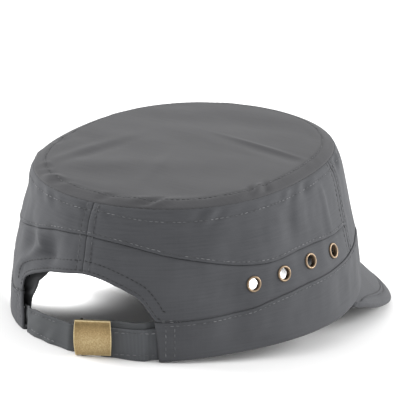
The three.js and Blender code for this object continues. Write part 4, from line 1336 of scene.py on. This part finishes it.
def build_stage():
    bm = bmesh.new()
    bmesh.ops.create_grid(bm, x_segments=1, y_segments=1, size=6)
    mesh = bpy.data.meshes.new("floor")
    bm.to_mesh(mesh)
    bm.free()
    floor = bpy.data.objects.new("floor", mesh)
    bpy.context.scene.collection.objects.link(floor)
    material, tree, shader = new_material("white studio paper")
    place = node(tree, "ShaderNodeTexCoord").outputs["Object"]
    away = node(tree, "ShaderNodeVectorMath", [(0, place)], operation="LENGTH")
    # The paper is a little greyer under the lamps, so that the soft shadows on it show
    colour = ramp(tree, away.outputs["Value"], [(0.3, linear("#eeeeee")), (0.95, linear("#fbfbfb"))])
    tree.links.new(colour.outputs["Color"], shader.inputs["Base Color"])
    shader.inputs["Roughness"].default_value = 0.9
    shader.inputs["Specular IOR Level"].default_value = 0.1
    mesh.materials.append(material)

    world = bpy.data.worlds.new("studio")
    bpy.context.scene.world = world
    world.use_nodes = True
    background = world.node_tree.nodes["Background"]
    background.inputs["Color"].default_value = (1, 1, 1, 1)
    background.inputs["Strength"].default_value = WORLD_STRENGTH


def soft_box(name, place, aim, size, power):
    data = bpy.data.lights.new(name, "AREA")
    data.shape = "RECTANGLE"
    data.size, data.size_y = size
    data.energy = power
    light = bpy.data.objects.new(name, data)
    light.location = place
    light.rotation_euler = (Vector(aim) - Vector(place)).to_track_quat("-Z", "Y").to_euler()
    bpy.context.scene.collection.objects.link(light)
    return light


def build_lights():
    for name, place, power in SOFT_BOXES:
        soft_box(name, place, SOFT_BOX_AIM, SOFT_BOX_SIZE, power)
    for x, y, z, power in HOLLOW_LAMPS:
        size = (HOLLOW_LAMP_SIZE, HOLLOW_LAMP_SIZE)
        lamp = soft_box("lamp in the hollow", (x, y, z), (x, y, 0), size, power)
        lamp.data.spread = math.radians(HOLLOW_LAMP_SPREAD)
        lamp.visible_camera = False


def build_camera():
    azimuth, elevation, roll_by = (math.radians(a) for a in (PHOTO_AZIMUTH, PHOTO_ELEVATION, PHOTO_ROLL))
    back = Vector((math.sin(azimuth) * math.cos(elevation), -math.cos(azimuth) * math.cos(elevation),
                   math.sin(elevation)))
    right = Vector((math.cos(azimuth), math.sin(azimuth), 0))
    up = back.cross(right)
    right, up = (right * math.cos(roll_by) + up * math.sin(roll_by),
                 up * math.cos(roll_by) - right * math.sin(roll_by))
    place = Matrix((right, up, back)).transposed().to_4x4()
    place.translation = Vector((0, 0, PHOTO_TARGET_HEIGHT)) + back * PHOTO_DISTANCE
    whole = CAP_TO_ROW @ place
    data = bpy.data.cameras.new("camera")
    data.sensor_width = 36.0
    data.lens = data.sensor_width * PHOTO_FOCAL_PIXELS / PHOTO_PIXELS
    data.shift_x = (PHOTO_PIXELS / 2 - PHOTO_CENTRE_PIXEL[0]) / PHOTO_PIXELS
    data.shift_y = (PHOTO_CENTRE_PIXEL[1] - PHOTO_PIXELS / 2) / PHOTO_PIXELS
    data.clip_start = 0.05
    camera = bpy.data.objects.new("camera", data)
    camera.matrix_world = Matrix.Translation(whole.translation) @ whole.to_3x3().normalized().to_4x4()
    bpy.context.scene.collection.objects.link(camera)
    bpy.context.scene.camera = camera


build_camera()
build_stage()
build_lights()
build_walls()
build_band()
build_top()
build_peak()
build_straps()
build_buckle()
build_eyelets()
build_stitches()
bpy.context.scene.view_settings.view_transform = "Standard"
